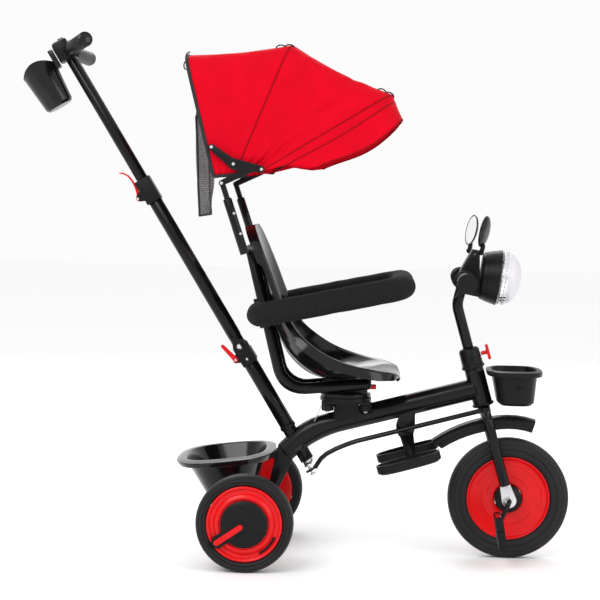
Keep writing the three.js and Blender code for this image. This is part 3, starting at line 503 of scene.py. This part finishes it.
def frame_tubes():
    top = mm(360, 0, 336.3)
    path = rounded([top, mm(33, 0, 249.8), mm(-14.7, 0, 202.1)], 0.25, 14)
    tube("main tube", path, 0.0213, PAINT, "frame", sides=40)
    dress("main_tube", PAINT, 0.0006)
    dress("head_tube", PAINT, 0.0008)
    head_low = STEER @ mm(0, 0, 194)
    head_high = STEER @ mm(0, 0, 268)
    tube("head tube", [head_low, head_high], 0.0193, PAINT, "frame", sides=40)
    dress("head_collar", PLASTIC, 0.001)
    for k, height in enumerate((0.277, 0.283, 0.289)):
        collar = [(0.0192, height - 0.0012), (0.0212, height - 0.0012), (0.0212, height + 0.0012),
                  (0.0192, height + 0.0012)]
        turned(f"collar ring {k}", collar, Vector(), PLASTIC, "frame", axis="Z", segments=40, soften=0.0004,
               place=STEER)
    dress("rear_bracket", PAINT, 0.0012)
    axle = pivot("rear_wheel_right_spin")
    tube("axle tube", [Vector((axle.x, -0.1803, axle.z)), Vector((axle.x, 0.1803, axle.z))], 0.0128, PAINT,
         "frame", sides=32)
    dress("seat_base", PLASTIC, 0.001)
    dress("steering_lock_knob", RED, 0.0018)
    screw("tube end plug", mm(-15.5, 0, 201.3), (-0.707, 0, -0.707), 0.0195, PLASTIC, "frame")


def fork_and_bar():
    dress("fork", PAINT, 0.0008)
    legs = rounded([mm(0, -36, 30), mm(0, -36, 179), mm(0, 36, 179), mm(0, 36, 30)], 0.026, 10)
    tube("fork legs", legs, 0.0103, PAINT, "steering", place=STEER, sides=28)
    for name, side in SIDES:
        drop = [(0.000 + 0.0145 * math.cos(a), -0.001 + 0.0145 * math.sin(a))
                for a in [rad(180 + 12 * k) for k in range(16)]]
        drop += [(0.0100, 0.031), (-0.0100, 0.031)]
        face = side * 0.0386
        plate(f"fork end plate {name}", drop, face - 0.0006, face + 0.0006, STEEL, "steering",
              place=STEER, bevel=0.0004)
    dress("handlebar", PAINT, 0)
    bar_x, bar_z = 0.025, 0.443
    stem = rounded([mm(0, 0, 262), mm(0, 0, 398), Vector((bar_x, 0, bar_z))], 0.045, 12)
    tube("stem", stem, 0.0108, PAINT, "steering", place=STEER, sides=28)
    for name, side in SIDES:
        ribs = [(0.0108, 0.066), (0.0212, 0.066), (0.0212, 0.0695), (0.0165, 0.0725)]
        for k in range(11):
            y = 0.076 + k * 0.0082
            ribs += [(0.0158, y), (0.0158, y + 0.0012), (0.0168, y + 0.0022), (0.0168, y + 0.0064)]
        ribs += [(0.0165, 0.166), (0.019, 0.168), (0.019, 0.172), (0, 0.172), (0, 0.1685), (0.0108, 0.1685)]
        turned(f"grip {name}", [(r, y * side) for r, y in ribs], Vector((bar_x, 0, bar_z)), PLASTIC,
               "steering", f"handlebar_grip_{name}", segments=48, soften=0.0006, place=STEER)
    dress("fender", PLASTIC, 0.0015, 30)
    dress("steering_rod", PAINT, 0, 60)


def lamp():
    """Headlamp: deep shell, chrome band cut into facets, clear dome and two round mirrors above."""
    dress("lamp_housing", PLASTIC, 0.0012)
    shell = [(0, -0.036), (0.034, -0.0362), (0.044, -0.033), (0.0500, -0.022), (0.0545, -0.002),
             (0.0552, 0.001), (0.0530, 0.001), (0.0515, -0.004), (0.046, -0.028), (0, -0.030)]
    turned("lamp shell", shell, Vector(), PLASTIC, "steering", axis="X", segments=80, place=LAMP)
    for k in range(2):
        y = 0.005 + 0.0065 * k
        ring = [(0.047, y), (0.0532 - 0.0012 * k, y), (0.0532 - 0.0012 * k, y + 0.0052), (0.047, y + 0.0052)]
        turned(f"lamp chrome ring {k}", ring, Vector(), CHROME, "steering", axis="X", segments=72,
               place=LAMP, soften=0.0006)
    count = 36
    for k in range(count):
        a = math.tau * k / count
        turn = LAMP @ Matrix.Rotation(a, 4, "X")
        block(f"lamp facet {k}", Vector((0.004, -0.0019, 0.0500)), Vector((0.0175, 0.0019, 0.0537)), CHROME,
              "steering", place=turn, bevel=0.0007)
    dome = [(0, 0.0455)]
    for i in range(1, 12):
        a = rad(90 * (1 - i / 12))
        dome.append((0.0505 * math.cos(a), 0.0165 + 0.029 * math.sin(a)))
    dome += [(0.0505, 0.0165), (0.0505, 0.010), (0, 0.010)]
    turned("lamp dome", dome, Vector(), DOME, "steering", "lamp_lens", axis="X", segments=72, place=LAMP,
           soften=0.0003)
    turned("lamp reflector", [(0, 0.009), (0.048, 0.0095), (0.048, 0.0075), (0, 0.0075)], Vector(), CHROME,
           "steering", axis="X", segments=48, place=LAMP)
    for name, side in SIDES:
        mirror(name, side)


def mirror(name, side):
    """Oval mirror on a short stalk, its glass towards the rider."""
    turn = Matrix.Rotation(rad(24 * side), 4, "Z") @ Matrix.Rotation(rad(12), 4, "Y")
    place = Matrix.Translation(mm(361 - 9 * side, 64 * side, 650)) @ turn
    oval = place @ Matrix.Diagonal((1, 1, 1.38, 1))
    back = [(0, 0.004), (0.010, 0.0038), (0.017, 0.0024), (0.0215, -0.0008), (0.0228, -0.0048),
            (0.0213, -0.0048), (0.0205, -0.0030), (0, -0.0030)]
    turned(f"mirror shell {name}", back, Vector(), GLOSS, "steering", f"mirror_{name}", axis="X", segments=56,
           place=oval)
    glass = [(0, -0.0035), (0.0207, -0.0035), (0.0207, -0.0044), (0, -0.0044)]
    turned(f"mirror glass {name}", glass, Vector(),
           MIRROR, "steering", axis="X", segments=48, place=oval, soften=0.0002)
    stalk = rounded([mm(1, 0, -26), mm(0, -3 * side, -36), mm(-3, -8 * side, -42)], 0.006, 5)
    tube(f"mirror stalk {name}", stalk, 0.0046, PLASTIC, "steering", place=place, sides=16)
    ball = [(0, 0.006), (0.004, 0.0048), (0.0062, 0), (0.004, -0.0048), (0, -0.006)]
    turned(f"mirror ball {name}", ball, mm(-3, -8 * side, -42), PLASTIC, "steering", axis="Z", segments=20,
           place=place, soften=0.001)


# ---------------------------------------------------------------- baskets, cup and footrest


def pressed(angle, power):
    bend = lambda v: math.copysign(abs(v) ** power, v)
    return bend(math.cos(angle)), bend(math.sin(angle))


TUB = [(0, 0), (0.86, 0), (1, 0.08), (1, 0.9), (1.17, 0.93), (1.19, 0.84), (1.22, 0.84), (1.21, 0.97),
       (1.02, 1), (0.96, 1), (0.96, 0.09), (0.84, 0.04), (0, 0.04)]


def mix(a, b, t):
    return a + (b - a) * t


def front_basket():
    def shape(a, r, z):
        c, s = pressed(a, 0.62)
        return mm(mix(440, 436, z) + r * c * mix(36, 46, z), r * s * mix(56, 66, z), 308 + 70 * z)
    turned("front basket tub", TUB, Vector(), PLASTIC, "frame", "front_basket", segments=112, soften=0.03,
           shape=shape)
    screw("front basket screw", mm(443, -65, 343), (0, -1, 0.05), 0.004, PLASTIC, "frame")


def rear_basket():
    def shape(a, r, z):
        c, s = pressed(a, 0.66)
        x = mix(-122, -133, z) + r * c * mix(47, 82, z)
        return mm(x, r * s * mix(92, 122, z), 118 + z * (83 + 0.11 * (x + 133)))
    turned("rear basket tub", TUB, Vector(), GLOSS, "frame", "rear_basket", segments=128, soften=0.03,
           shape=shape)


def cup_and_handle():
    cup = [(0, 0), (25, 0), (29, 5), (36, 80), (34.4, 80), (27.4, 7), (24, 3.4), (0, 3.2)]

    def shape(a, r, z):
        lift = 1 + 0.2 * math.sin(a) ** 2 if z > 50 else 1
        rib = 1 + 0.012 * math.cos(12 * a) if 8 < z < 70 and r > 20 else 1
        return POLE @ mm(-67 + r * rib * math.cos(a), r * rib * math.sin(a), 860 + z * lift)
    turned("cup", cup, Vector(), GLOSS, "upper_pole", segments=112, soften=1.2, shape=shape)
    rim = []
    for k in range(96):
        a = math.tau * k / 96
        height = 860 + 80 * (1 + 0.2 * math.sin(a) ** 2)
        rim.append(POLE @ mm(-67 + 35.4 * math.cos(a), 35.4 * math.sin(a), height))
    tube("cup rim", rim, 0.0014, GLOSS, "upper_pole", sides=10, closed=True)
    block("cup clip", mm(-33.5, -12, 926), mm(-24.4, 12, 966), GLOSS, "upper_pole", ["cup_holder"],
          place=POLE, bevel=0.002)
    turn = POLE @ Matrix.Rotation(rad(8.3), 4, "Z")
    block("handle housing", mm(-22, -19, 930.3), mm(11, 19, 973), PLASTIC, "upper_pole", ["push_handle"],
          place=turn, bevel=0.006)
    for name, side in SIDES:
        path = rounded([mm(9, 15 * side, 945), mm(12, 40 * side, 943), mm(37, 130 * side, 931)], 0.06, 10)
        tube(f"push grip {name}", path, 0.0145, PLASTIC, "upper_pole", place=turn, sides=32)
        cap = path[-1] - (path[-1] - path[-2]).normalized() * 0.002
        tube(f"push grip cap {name}", [cap, cap + (path[-1] - path[-2]).normalized() * 0.0022], 0.0147, GLOSS,
             "upper_pole", place=turn, sides=32)
        band = path[-8] if len(path) > 8 else path[1]
        tube(f"push grip band {name}", [mix(path[2], band, 0.2), mix(path[2], band, 0.45)], 0.0152, GLOSS,
             "upper_pole", place=turn, sides=32)
    block("handle button", mm(-6, -9, 972.5), mm(6, 9, 976), GREY, "upper_pole", place=turn, bevel=0.0015)


def footrest():
    dress("footrest_post", PAINT, 0.0012)
    tray_place = tilted(mm(230, 0, 196.5), -16)
    for name, side in SIDES:
        profile = [(0, -10), (0.90, -10), (1, -6), (1, 9), (0.93, 9), (0.92, -3), (0.86, -4.5), (0, -4.5)]

        def shape(a, r, z):
            c, s = pressed(a, 0.7)
            wave = 0.7 * math.cos(8 * a) if r < 0.9 and z > -6 else 0
            return tray_place @ mm(r * c * 64, side * 79.8 + r * s * 31, z + wave)
        turned(f"foot tray {name}", profile, Vector(), PLASTIC, "footrest", f"foot_tray_{name}", segments=96,
               soften=0.05, shape=shape)
        for k in range(7):
            x = -42 + 14 * k
            y = side * 79.8
            block(f"tray rib {name} {k}", mm(x - 1.4, y - 20, -4.6), mm(x + 1.4, y + 20, -2.6), GREY,
                  "footrest", place=tray_place, bevel=0.0006)

# ---------------------------------------------------------------- push pole


def push_pole():
    for node in ("steering_shaft", "fold_bracket", "pole_clamp"):
        dress(node, STEEL if node == "steering_shaft" else PLASTIC, 0.0008)
    for node in ("pole_lower_tube", "pole_middle_tube", "pole_upper_tube"):
        dress(node, PAINT, 0, 30)
    dress("fold_latch", RED, 0.001)
    dress("clamp_lever", RED, 0.0014)
    runs = (("lower", "lower_pole", 78, 249, 0.01445), ("middle", "middle_pole", 287, 648, 0.0132),
            ("upper", "upper_pole", 485, 929, 0.0112))
    for name, body, start, end, radius in runs:
        tube(f"{name} pole skin", [mm(0, 0, start), mm(0, 0, end)], radius, PAINT, body, place=POLE, sides=40)
        block(f"{name} pole ridge", Vector((radius - 0.0012, -0.0016, start / 1000 + 0.003)),
              Vector((radius + 0.0007, 0.0016, end / 1000 - 0.003)), PAINT, body, place=POLE, bevel=0.0006)
    for side in (-1, 1):
        out = POLE.to_3x3() @ Vector((0, side, 0))
        screw(f"fold bolt {side}", POLE @ mm(0, side * 20.1, 267), out, 0.0062, STEEL, "lower_pole")
        screw(f"bracket rivet {side}", POLE @ mm(0, side * 17.3, 238), out, 0.0035, STEEL, "lower_pole")
    screw("clamp pin", POLE @ mm(-26, -8.6, 623), POLE.to_3x3() @ Vector((0, -1, 0)), 0.0035, STEEL,
          "middle_pole")
    screw("latch pin", POLE @ mm(-20, -22.1, 248), POLE.to_3x3() @ Vector((0, -1, 0)), 0.003, STEEL, "latch")
    ring = [(0.0143, 0.0765), (0.0162, 0.0765), (0.0162, 0.084), (0.0143, 0.084)]
    turned("pole foot ring", ring, Vector(), PLASTIC, "lower_pole", axis="Z", segments=40, place=POLE)


# ---------------------------------------------------------------- seat and armrest

# Seat surface from the top of the back to the front lip: centre line, side rim and half width.
STATIONS = (((-84, 652), (-80, 656), 60), ((-80, 636), (-73, 640), 98), ((-72, 604), (-59, 607), 118),
            ((-62, 560), (-42, 566), 122), ((-51, 515), (-25, 522), 124), ((-39, 470), (-8, 482), 126),
            ((-24, 428), (12, 452), 133), ((-4, 395), (37, 430), 146), ((26, 369), (66, 411), 148),
            ((62, 357), (98, 397), 147), ((105, 358), (134, 387), 142), ((146, 362), (164, 381), 132),
            ((182, 367), (190, 376), 112), ((203, 365), (205, 370), 86), ((211, 357), (211, 359), 60))


def spline(values, t):
    """Catmull-Rom value at t along evenly spaced numbers."""
    i = min(int(t), len(values) - 2)
    f = t - i
    a = values[max(0, i - 1)]
    b, c = values[i], values[i + 1]
    d = values[min(len(values) - 1, i + 2)]
    square = 2 * a - 5 * b + 4 * c - d
    cube = 3 * b - a - 3 * c + d
    return 0.5 * (2 * b + (c - a) * f + square * f ** 2 + cube * f ** 3)


def bulge(x, low, high):
    """Smooth hump: 0 outside low..high and 1 in the middle."""
    if not low < x < high:
        return 0
    return math.sin(math.pi * (x - low) / (high - low)) ** 2


def seat_row(t, inset):
    columns = [[s[0][0] for s in STATIONS], [s[0][1] for s in STATIONS], [s[1][0] for s in STATIONS],
               [s[1][1] for s in STATIONS], [s[2] for s in STATIONS]]
    cx, cz, rx, rz, half = (spline(c, t) for c in columns)
    step = 0.05
    a, b = max(0, t - step), min(len(STATIONS) - 1, t + step)
    dx, dz = (spline(columns[0], b) - spline(columns[0], a)), (spline(columns[1], b) - spline(columns[1], a))
    length = math.hypot(dx, dz)
    nx, nz = -dz / length, dx / length
    drop = (13 if 2.5 < t < 6.5 else 20) * (1 - 0.2 * max(0, t - 11))
    edge = 9
    row = []
    for k in range(25):
        u = k / 24
        rib = 1.3 * bulge(u, 0.42, 0.97) * bulge(t, 5.2, 12.5) * (0.5 + 0.5 * math.sin(5.2 * t - 7 * u))
        dish = -1.2 * bulge(u, -0.45, 0.45) * bulge(t, 1.2, 6.5)
        lift = -inset + rib + dish
        row.append(Vector((mix(cx, rx, u ** 3) + nx * lift, half * u, mix(cz, rz, u ** 3) + nz * lift)))
    for k in range(1, 6):
        a = rad(90 * k / 5)
        out = (edge - inset) * math.sin(a)
        back = 5 * (1 - math.cos(a)) + inset
        row.append(Vector((rx - nx * back, half + out, rz - nz * back)))
    row.append(Vector((rx - nx * drop, half + edge + 1.6 - inset, rz - nz * drop)))
    return row


def seat_shell():
    """Bucket seat: high-gloss moulded shell with ribbed sides and three slots in the back."""
    sheets = []
    steps = 84
    for inset in (0, 3):
        rows = []
        for i in range(steps + 1):
            half = seat_row(i / steps * (len(STATIONS) - 1), inset)
            rows.append([Vector((p.x, -p.y, p.z)) for p in half[:0:-1]] + half)
        sheets.append(rows)
    columns = len(sheets[0][0])
    count = steps + 1
    verts = [p / 1000 for rows in sheets for row in rows for p in row]
    outer = grid_faces(count, columns)
    shift = count * columns
    inner = [tuple(reversed([v + shift for v in f])) for f in outer]
    walls = []
    for i in range(steps):
        for j in (0, columns - 1):
            a, b = i * columns + j, (i + 1) * columns + j
            walls.append((a, b, b + shift, a + shift) if j else (b, a, a + shift, b + shift))
    for j in range(columns - 1):
        for i in (0, steps):
            a, b = i * columns + j, i * columns + j + 1
            walls.append((b, a, a + shift, b + shift) if i else (a, b, b + shift, a + shift))
    faces = outer + inner + walls
    seat = piece("seat bucket", verts, faces, GLOSS, "seat", "seat_shell", degrees=50)
    bpy.context.view_layer.update()
    for k, (x, z, wide) in enumerate(((-80, 634, 26), (-70.5, 590, 34), (-60.5, 552, 38))):
        lean = tilted(mm(x, 0, z), -14)
        cutter = block(f"slot cutter {k}", mm(-14, -wide, -5.5), mm(14, wide, 5.5), GLOSS, "seat", place=lean,
                       bevel=0.0045)
        cutter.hide_render = True
        cutter.hide_viewport = True
        hole = seat.modifiers.new(f"slot {k}", "BOOLEAN")
        hole.operation = "DIFFERENCE"
        hole.object = cutter
        seat.modifiers.move(len(seat.modifiers) - 1, k)
    bake(seat)
    for cutter in [o for o in bpy.data.objects if o.name.startswith("slot cutter")]:
        bpy.data.objects.remove(cutter)


def bake(obj):
    """Applies the modifiers, so that their helpers can go."""
    graph = bpy.context.evaluated_depsgraph_get()
    mesh = bpy.data.meshes.new_from_object(obj.evaluated_get(graph), depsgraph=graph)
    obj.modifiers.clear()
    obj.data = mesh
    smooth(obj, 50)


def seat_parts():
    seat_shell()
    dress("seat_frame", PAINT, 0.0006)
    dress("turntable_top", PAINT, 0.0008)
    dress("swivel_lock_tab", RED, 0.0014)
    for name, side in SIDES:
        y = 40 * side
        path = rounded([mm(148, y, 344.4), mm(-19.6, y, 329.3), mm(-88, y, 603.6)], 0.055, 14)
        tube(f"seat tube {name}", path, 0.0113, PAINT, "seat", sides=28)
        screw(f"seat tube end {name}", mm(148, y, 344.4), (1, 0, 0.09), 0.0108, PLASTIC, "seat")
        post = [mm(-94.5 + 8 * 0.319, 172 * side, 609 - 8 * 0.948), mm(-127, 172 * side, 705.6)]
        tube(f"canopy post {name}", post, 0.0085, PAINT, "seat", sides=24)
        for k in range(2):
            at = mm(-100 - 13 * k, 180.4 * side, 640 + 38.5 * k)
            screw(f"post button {name} {k}", at, (0, side, 0), 0.0028, STEEL, "seat")
        screw(f"clamp screw {name}", mm(-66, 66 * side, 484), (0, side, 0), 0.004, STEEL, "seat")
    for k, (x, y) in enumerate(((68, -34), (68, 34), (143, -34), (143, 34))):
        screw(f"base knob cap {k}", mm(x, y, 289.8), (0, 0, -1), 0.0062, STEEL, "frame")


LOOP_REAR, LOOP_FRONT, LOOP_Y = -66, 212, 162


def armrest():
    def loop(end):
        corners = [(LOOP_REAR, -end, 484), (LOOP_REAR, -LOOP_Y, 484), (LOOP_FRONT, -LOOP_Y, 542),
                   (LOOP_FRONT, LOOP_Y, 542), (LOOP_REAR, LOOP_Y, 484), (LOOP_REAR, end, 484)]
        return rounded([mm(*c) for c in corners], (0.040, 0.058, 0.058, 0.040), 12)
    tube("armrest bar", loop(66.5), 0.0091, PAINT, "armrest", "armrest_tube", sides=24)
    path = []
    corners = loop(84)
    for a, b in zip(corners, corners[1:]):
        pieces = max(1, int((b - a).length / 0.006))
        path += [a.lerp(b, k / pieces) for k in range(pieces)]
    path.append(corners[-1])
    foam = tube("armrest sleeve", path, 0.0232, FOAM, "armrest", "armrest_foam", sides=48, rough=0.035)


# ---------------------------------------------------------------- canopy

HOOPS = {"rear": ((-153, 747), (-212, 977), 178), "mid": ((-114, 751), (-12, 1000), 178),
         "front": ((-66, 758), (180, 909), 178), "lip": ((4, 768), (200, 863), 177)}


def hoop(foot, tip, half, inset, columns=64):
    """Points up one side, over the top and down the other."""
    foot, tip = Vector((foot[0], 0, foot[1])), Vector((tip[0], 0, tip[1]))
    length = (tip - foot).length - inset
    up = (tip - foot).normalized()
    w = half - inset
    r = min(48, length * 0.6)
    side = [Vector((w, 0, 0)), Vector((w - 3, length - r, 0))]
    turn = []
    for k in range(1, 9):
        a = rad(90 * k / 8)
        turn.append(Vector((w - 3 - r + r * math.cos(a), length - r + r * math.sin(a), 0)))
    top = [Vector(((w - r) * f, length + 5 - 1.5 * f, 0)) for f in (0.75, 0.5, 0.25)]
    one = side + turn + top
    line = [Vector((-p.x, p.y, 0)) for p in one] + [Vector((0, length + 5, 0))] + one[::-1]
    reach = [0.0]
    for a, b in zip(line, line[1:]):
        reach.append(reach[-1] + (b - a).length)
    out = []
    k = 0
    for n in range(columns + 1):
        want = reach[-1] * n / columns
        while k < len(reach) - 2 and reach[k + 1] < want:
            k += 1
        p = line[k].lerp(line[k + 1], (want - reach[k]) / (reach[k + 1] - reach[k]))
        spot = foot + up * p.y
        spot.y = p.x
        out.append(spot)
    return out


# Foot of the visor: it runs with the front hoop, then steps forward to the flap's rounded corner.
FLAP_FEET = ((0, -66, 758), (0.15, -46, 763), (0.3, -16, 771), (0.45, 2, 768), (0.7, 22, 766), (1, 43, 769))


def flap_foot(t):
    for (t0, x0, z0), (t1, x1, z1) in zip(FLAP_FEET, FLAP_FEET[1:]):
        if t <= t1:
            f = (t - t0) / (t1 - t0)
            return (mix(x0, x1, f), mix(z0, z1, f))
    return FLAP_FEET[-1][1:]


def panel_points(a, b, rows, sag, wrinkle, seed, flap=False):
    """Cloth stretched from hoop a to hoop b: it sags inward between them, and pulls into fine creases."""
    grid = []
    centre = Vector((-60, 0, 800))
    for i in range(rows + 1):
        t = i / rows
        foot = [mix(p, q, t) for p, q in zip(HOOPS[a][0], HOOPS[b][0])]
        tip = [mix(p, q, t) for p, q in zip(HOOPS[a][1], HOOPS[b][1])]
        if flap:
            foot = flap_foot(t)
        row = hoop(foot, tip, mix(HOOPS[a][2], HOOPS[b][2], t), 0.6)
        columns = len(row) - 1
        for n, p in enumerate(row):
            s = n / columns
            over = 1 - abs(2 * s - 1)
            inward = (centre - p).normalized()
            pull = math.sin(math.pi * t)
            fold = noise.noise(Vector((s * 17 + seed, t * 2.0, seed)))
            line = noise.noise(Vector((s * 2.2 + t * 3 + seed, (t - s) * 11, 4 + seed)))
            depth = sag * pull * (0.35 + 0.65 * over) + wrinkle * pull * (0.9 + 0.8 * fold + 0.9 * line)
            gather = 0.8 * wrinkle * (1 - over) * pull * math.sin(26 * t + 3 * fold)
            row[n] = p + inward * max(0, depth + gather)
            if flap:
                row[n] += Vector((0.45, 0, -0.9)) * (15 * t * bulge(min(1, over * 1.6), -0.05, 1.05))
        grid.append(row)
    return grid


def relax(obj, pinned, frames=12):
    """Lets the panel settle as cloth between its sewn edges, and keeps the settled shape."""
    group = obj.vertex_groups.new(name="sewn")
    group.add(pinned, 1.0, "REPLACE")
    cloth = obj.modifiers.new("cloth", "CLOTH")
    obj.modifiers.move(len(obj.modifiers) - 1, 0)
    fabric = cloth.settings
    fabric.quality = 6
    fabric.mass = 0.25
    fabric.tension_stiffness = 40
    fabric.compression_stiffness = 40
    fabric.shear_stiffness = 12
    fabric.bending_stiffness = 0.6
    fabric.shrink_min = -0.001
    fabric.effector_weights.gravity = 0.12
    fabric.vertex_group_mass = "sewn"
    cloth.collision_settings.use_collision = False
    cloth.point_cache.frame_start = 1
    cloth.point_cache.frame_end = frames
    scene = bpy.context.scene
    for f in range(1, frames + 1):
        scene.frame_set(f)
    graph = bpy.context.evaluated_depsgraph_get()
    settled = [v.co.copy() for v in obj.evaluated_get(graph).data.vertices]
    if len(settled) == len(obj.data.vertices):
        for v, co in zip(obj.data.vertices, settled):
            v.co = co
    obj.modifiers.remove(cloth)
    scene.frame_set(1)


def panel(name, node, a, b, body, rows, sag, wrinkle, seed, blend=None, flap=False):
    grid = panel_points(a, b, rows, sag, wrinkle, seed, flap)
    columns = len(grid[0])
    verts = [p / 1000 for row in grid for p in row]
    faces = grid_faces(len(grid), columns)
    cloth = piece(name, verts, faces, FABRIC, None if blend else body, node, degrees=70)
    edges = [i for i in range(len(verts)) if i % columns in (0, columns - 1) or i < columns
             or i >= len(verts) - columns]
    if not (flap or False):
        relax(cloth, edges)
    along = sum((p - q).length for p, q in zip(grid[rows // 2], grid[rows // 2][1:])) / 1000
    hem = cloth.modifiers.new("cloth thickness", "SOLIDIFY")
    hem.thickness = 0.0009
    hem.offset = 0
    if blend:
        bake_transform(cloth)
    return grid


def seam(name, row, radius, mat, body, lift=0.0):
    centre = Vector((-60, 0, 800))
    path = [(p - (centre - p).normalized() * lift) / 1000 for p in row]
    return tube(name, path, radius, mat, body, sides=10)


# Wire clips on the hoops: x, z, body, distance from the middle, lean in degrees.
CLIPS = ((-211, 962, "canopy", 130, 78), (-24, 990, "canopy", 135, 4), (170, 906, "canopy_front", 132, -24))


def canopy():
    rear = panel("canopy rear cloth", "canopy_rear_panel", "rear", "mid", "canopy", 26, 1.6, 1.5, 1.7)
    bend = (mm(-67, 0, 870), mm(52, 0, 833))
    front = panel("canopy front cloth", "canopy_front_panel", "mid", "front", "canopy", 34, 2.2, 3.6, 5.3,
                  bend)
    visor = panel("canopy visor cloth", "canopy_visor", "front", "lip", "canopy_front", 30, 0.6, 0.3, 9.1,
                  flap=True)
    seam("canopy rear edging", rear[0], 0.0034, EDGING, "canopy")
    seam("canopy mid seam", rear[-1], 0.0013, SEWN, "canopy")
    seam("canopy front seam", front[-1], 0.0013, SEWN, "canopy_front")
    seam("canopy visor seam", visor[9], 0.0014, SEWN, "canopy_front")
    seam("canopy lip hem", visor[-1], 0.0015, SEWN, "canopy_front")
    for end, name in ((0, "right"), (-1, "left")):
        foot_edge = [row[end] / 1000 for row in rear]
        tube(f"rear panel lower edging {name}", foot_edge, 0.0032, EDGING, "canopy", sides=10)
        dress(f"canopy_arm_{name}", PLASTIC, 0.001)
        side = -1 if name == "right" else 1
        for k, (x, z) in enumerate(((-157.6, 803), (-115.5, 771.6), (-62, 762.5), (-137.6, 735.3))):
            screw(f"canopy rivet {name} {k}", mm(x, side * 186.6 if k < 3 else side * 184.1, z), (0, side, 0),
                  0.0034, STEEL, "canopy")
    for rib in ("rear", "mid", "front"):
        dress(f"canopy_rib_{rib}", PAINT, 0, 60)
    for name, side in SIDES:
        for k, (x, z, body, tip, lean) in enumerate(CLIPS):
            bow(f"canopy clip {name} {k}", mm(x, side * tip, z + 6), side, body, lean)
    bag()


def bow(name, at, side, body, lean):
    """Small wire clip that ties the cloth to its hoop: two low loops side by side."""
    turn = Matrix.Rotation(rad(-lean), 4, "Y")
    for k, shift in enumerate((-8, 8)):
        loop = [at + turn @ mm(shift + 9 * math.cos(a), 2 * side, -2 + 6.5 * math.sin(a))
                for a in [rad(15 * n) for n in range(13)]]
        tube(f"{name} loop {k}", loop, 0.0013, EDGING, body, sides=8)


def bag():
    """Net bag behind the seat: a slack pouch with taped edges and a drawstring."""
    low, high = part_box("mesh_bag")
    rows, columns = 22, 34
    verts = []
    for face in (0, 1):
        for i in range(rows + 1):
            t = i / rows
            z = mix(high.z, low.z, t)
            for j in range(columns + 1):
                s = j / columns
                y = mix(low.y, high.y, s) * (1 - 0.05 * math.sin(math.pi * t))
                belly = math.sin(math.pi * s) ** 0.6 * math.sin(math.pi * min(1, 0.1 + 0.9 * t)) ** 0.7
                ripple = 0.0025 * noise.noise(Vector((s * 9, t * 3, 2.5))) + 0.0012 * math.sin(38 * s)
                middle = mix(-0.193, -0.184, t)
                x = middle + (0.017 * belly + ripple if face else -0.009 * belly + 0.5 * ripple)
                verts.append(Vector((x, y, z)))
    faces = grid_faces(rows + 1, columns + 1)
    shift = (rows + 1) * (columns + 1)
    faces += [tuple(reversed([v + shift for v in f])) for f in faces]
    net = piece("bag net", verts, faces, NET, "canopy", "mesh_bag", degrees=80)
    row = columns + 1
    top = verts[:row]
    bottom = verts[rows * row: (rows + 1) * row]
    left = [verts[i * row] for i in range(rows + 1)]
    right = [verts[i * row + columns] for i in range(rows + 1)]
    for k, edge in enumerate((top, bottom, left, right)):
        tube(f"bag tape {k}", edge, 0.0021, EDGING, "canopy", sides=10)
    for name, side in SIDES:
        strap = [mm(-193, 118 * side, 860), mm(-190, 130 * side, 885), mm(-187, 146 * side, 905),
                 mm(-186, 160 * side, 918)]
        tube(f"bag strap {name}", strap, 0.0017, EDGING, "canopy", sides=10)


# ---------------------------------------------------------------- stage


def retaining_wire():
    tube("retaining wire", rounded([mm(57.5, -30, 303.6), mm(50, -26, 285), mm(42, -21, 266)], 0.02), 0.0011,
         STEEL, "frame", sides=12)


def camera():
    eye, target = mm(155.6, -3700, 722), mm(8, 0, 506)
    data = bpy.data.cameras.new("view")
    data.lens = 111.6
    data.sensor_width = 36
    data.clip_end = 50
    cam = bpy.data.objects.new("view", data)
    bpy.context.scene.collection.objects.link(cam)
    look = (target - eye).to_track_quat("-Z", "Y").to_matrix().to_4x4()
    cam.matrix_world = Matrix.Translation(eye) @ look @ Matrix.Rotation(rad(1.05), 4, "Z")
    bpy.context.scene.camera = cam


def lamp_above(name, place, target, size, power):
    data = bpy.data.lights.new(name, "AREA")
    data.shape = "RECTANGLE"
    data.size, data.size_y = size
    data.energy = power
    light = bpy.data.objects.new(name, data)
    bpy.context.scene.collection.objects.link(light)
    light.location = place
    light.rotation_euler = (Vector(target) - Vector(place)).to_track_quat("-Z", "Y").to_euler()


def stage():
    bpy.context.scene.view_settings.view_transform = "Standard"
    world = bpy.data.worlds.new("studio")
    world.use_nodes = True
    world.node_tree.nodes["Background"].inputs["Color"].default_value = (1, 1, 1, 1)
    world.node_tree.nodes["Background"].inputs["Strength"].default_value = 0.97
    bpy.context.scene.world = world
    floor_mesh = bpy.data.meshes.new("floor")
    reach = 14
    corners = [(x * reach, y * reach, 0) for x, y in ((-1, -1), (1, -1), (1, 1), (-1, 1))]
    floor_mesh.from_pydata(corners, [], [(0, 1, 2, 3)])
    floor = bpy.data.objects.new("floor", floor_mesh)
    floor_mesh.materials.append(material("pale floor", (0.97, 0.97, 0.97), 0.8, vary=0.004))
    bpy.context.scene.collection.objects.link(floor)
    lamp_above("key", (-1.4, -2.6, 2.8), (0, 0, 0.5), (2.2, 1.6), 60)
    lamp_above("fill", (2.6, -1.8, 1.6), (0.2, 0, 0.5), (1.6, 2.0), 26)
    lamp_above("rim", (-0.6, 2.6, 2.4), (0, 0, 0.6), (2.4, 1.2), 36)


def build():
    front_wheel()
    for name, side in SIDES:
        rear_wheel(name, side)
    frame_tubes()
    fork_and_bar()
    lamp()
    front_basket()
    rear_basket()
    footrest()
    cup_and_handle()
    push_pole()
    seat_parts()
    armrest()
    canopy()
    retaining_wire()


camera()
stage()
build()
bpy.context.view_layer.update()
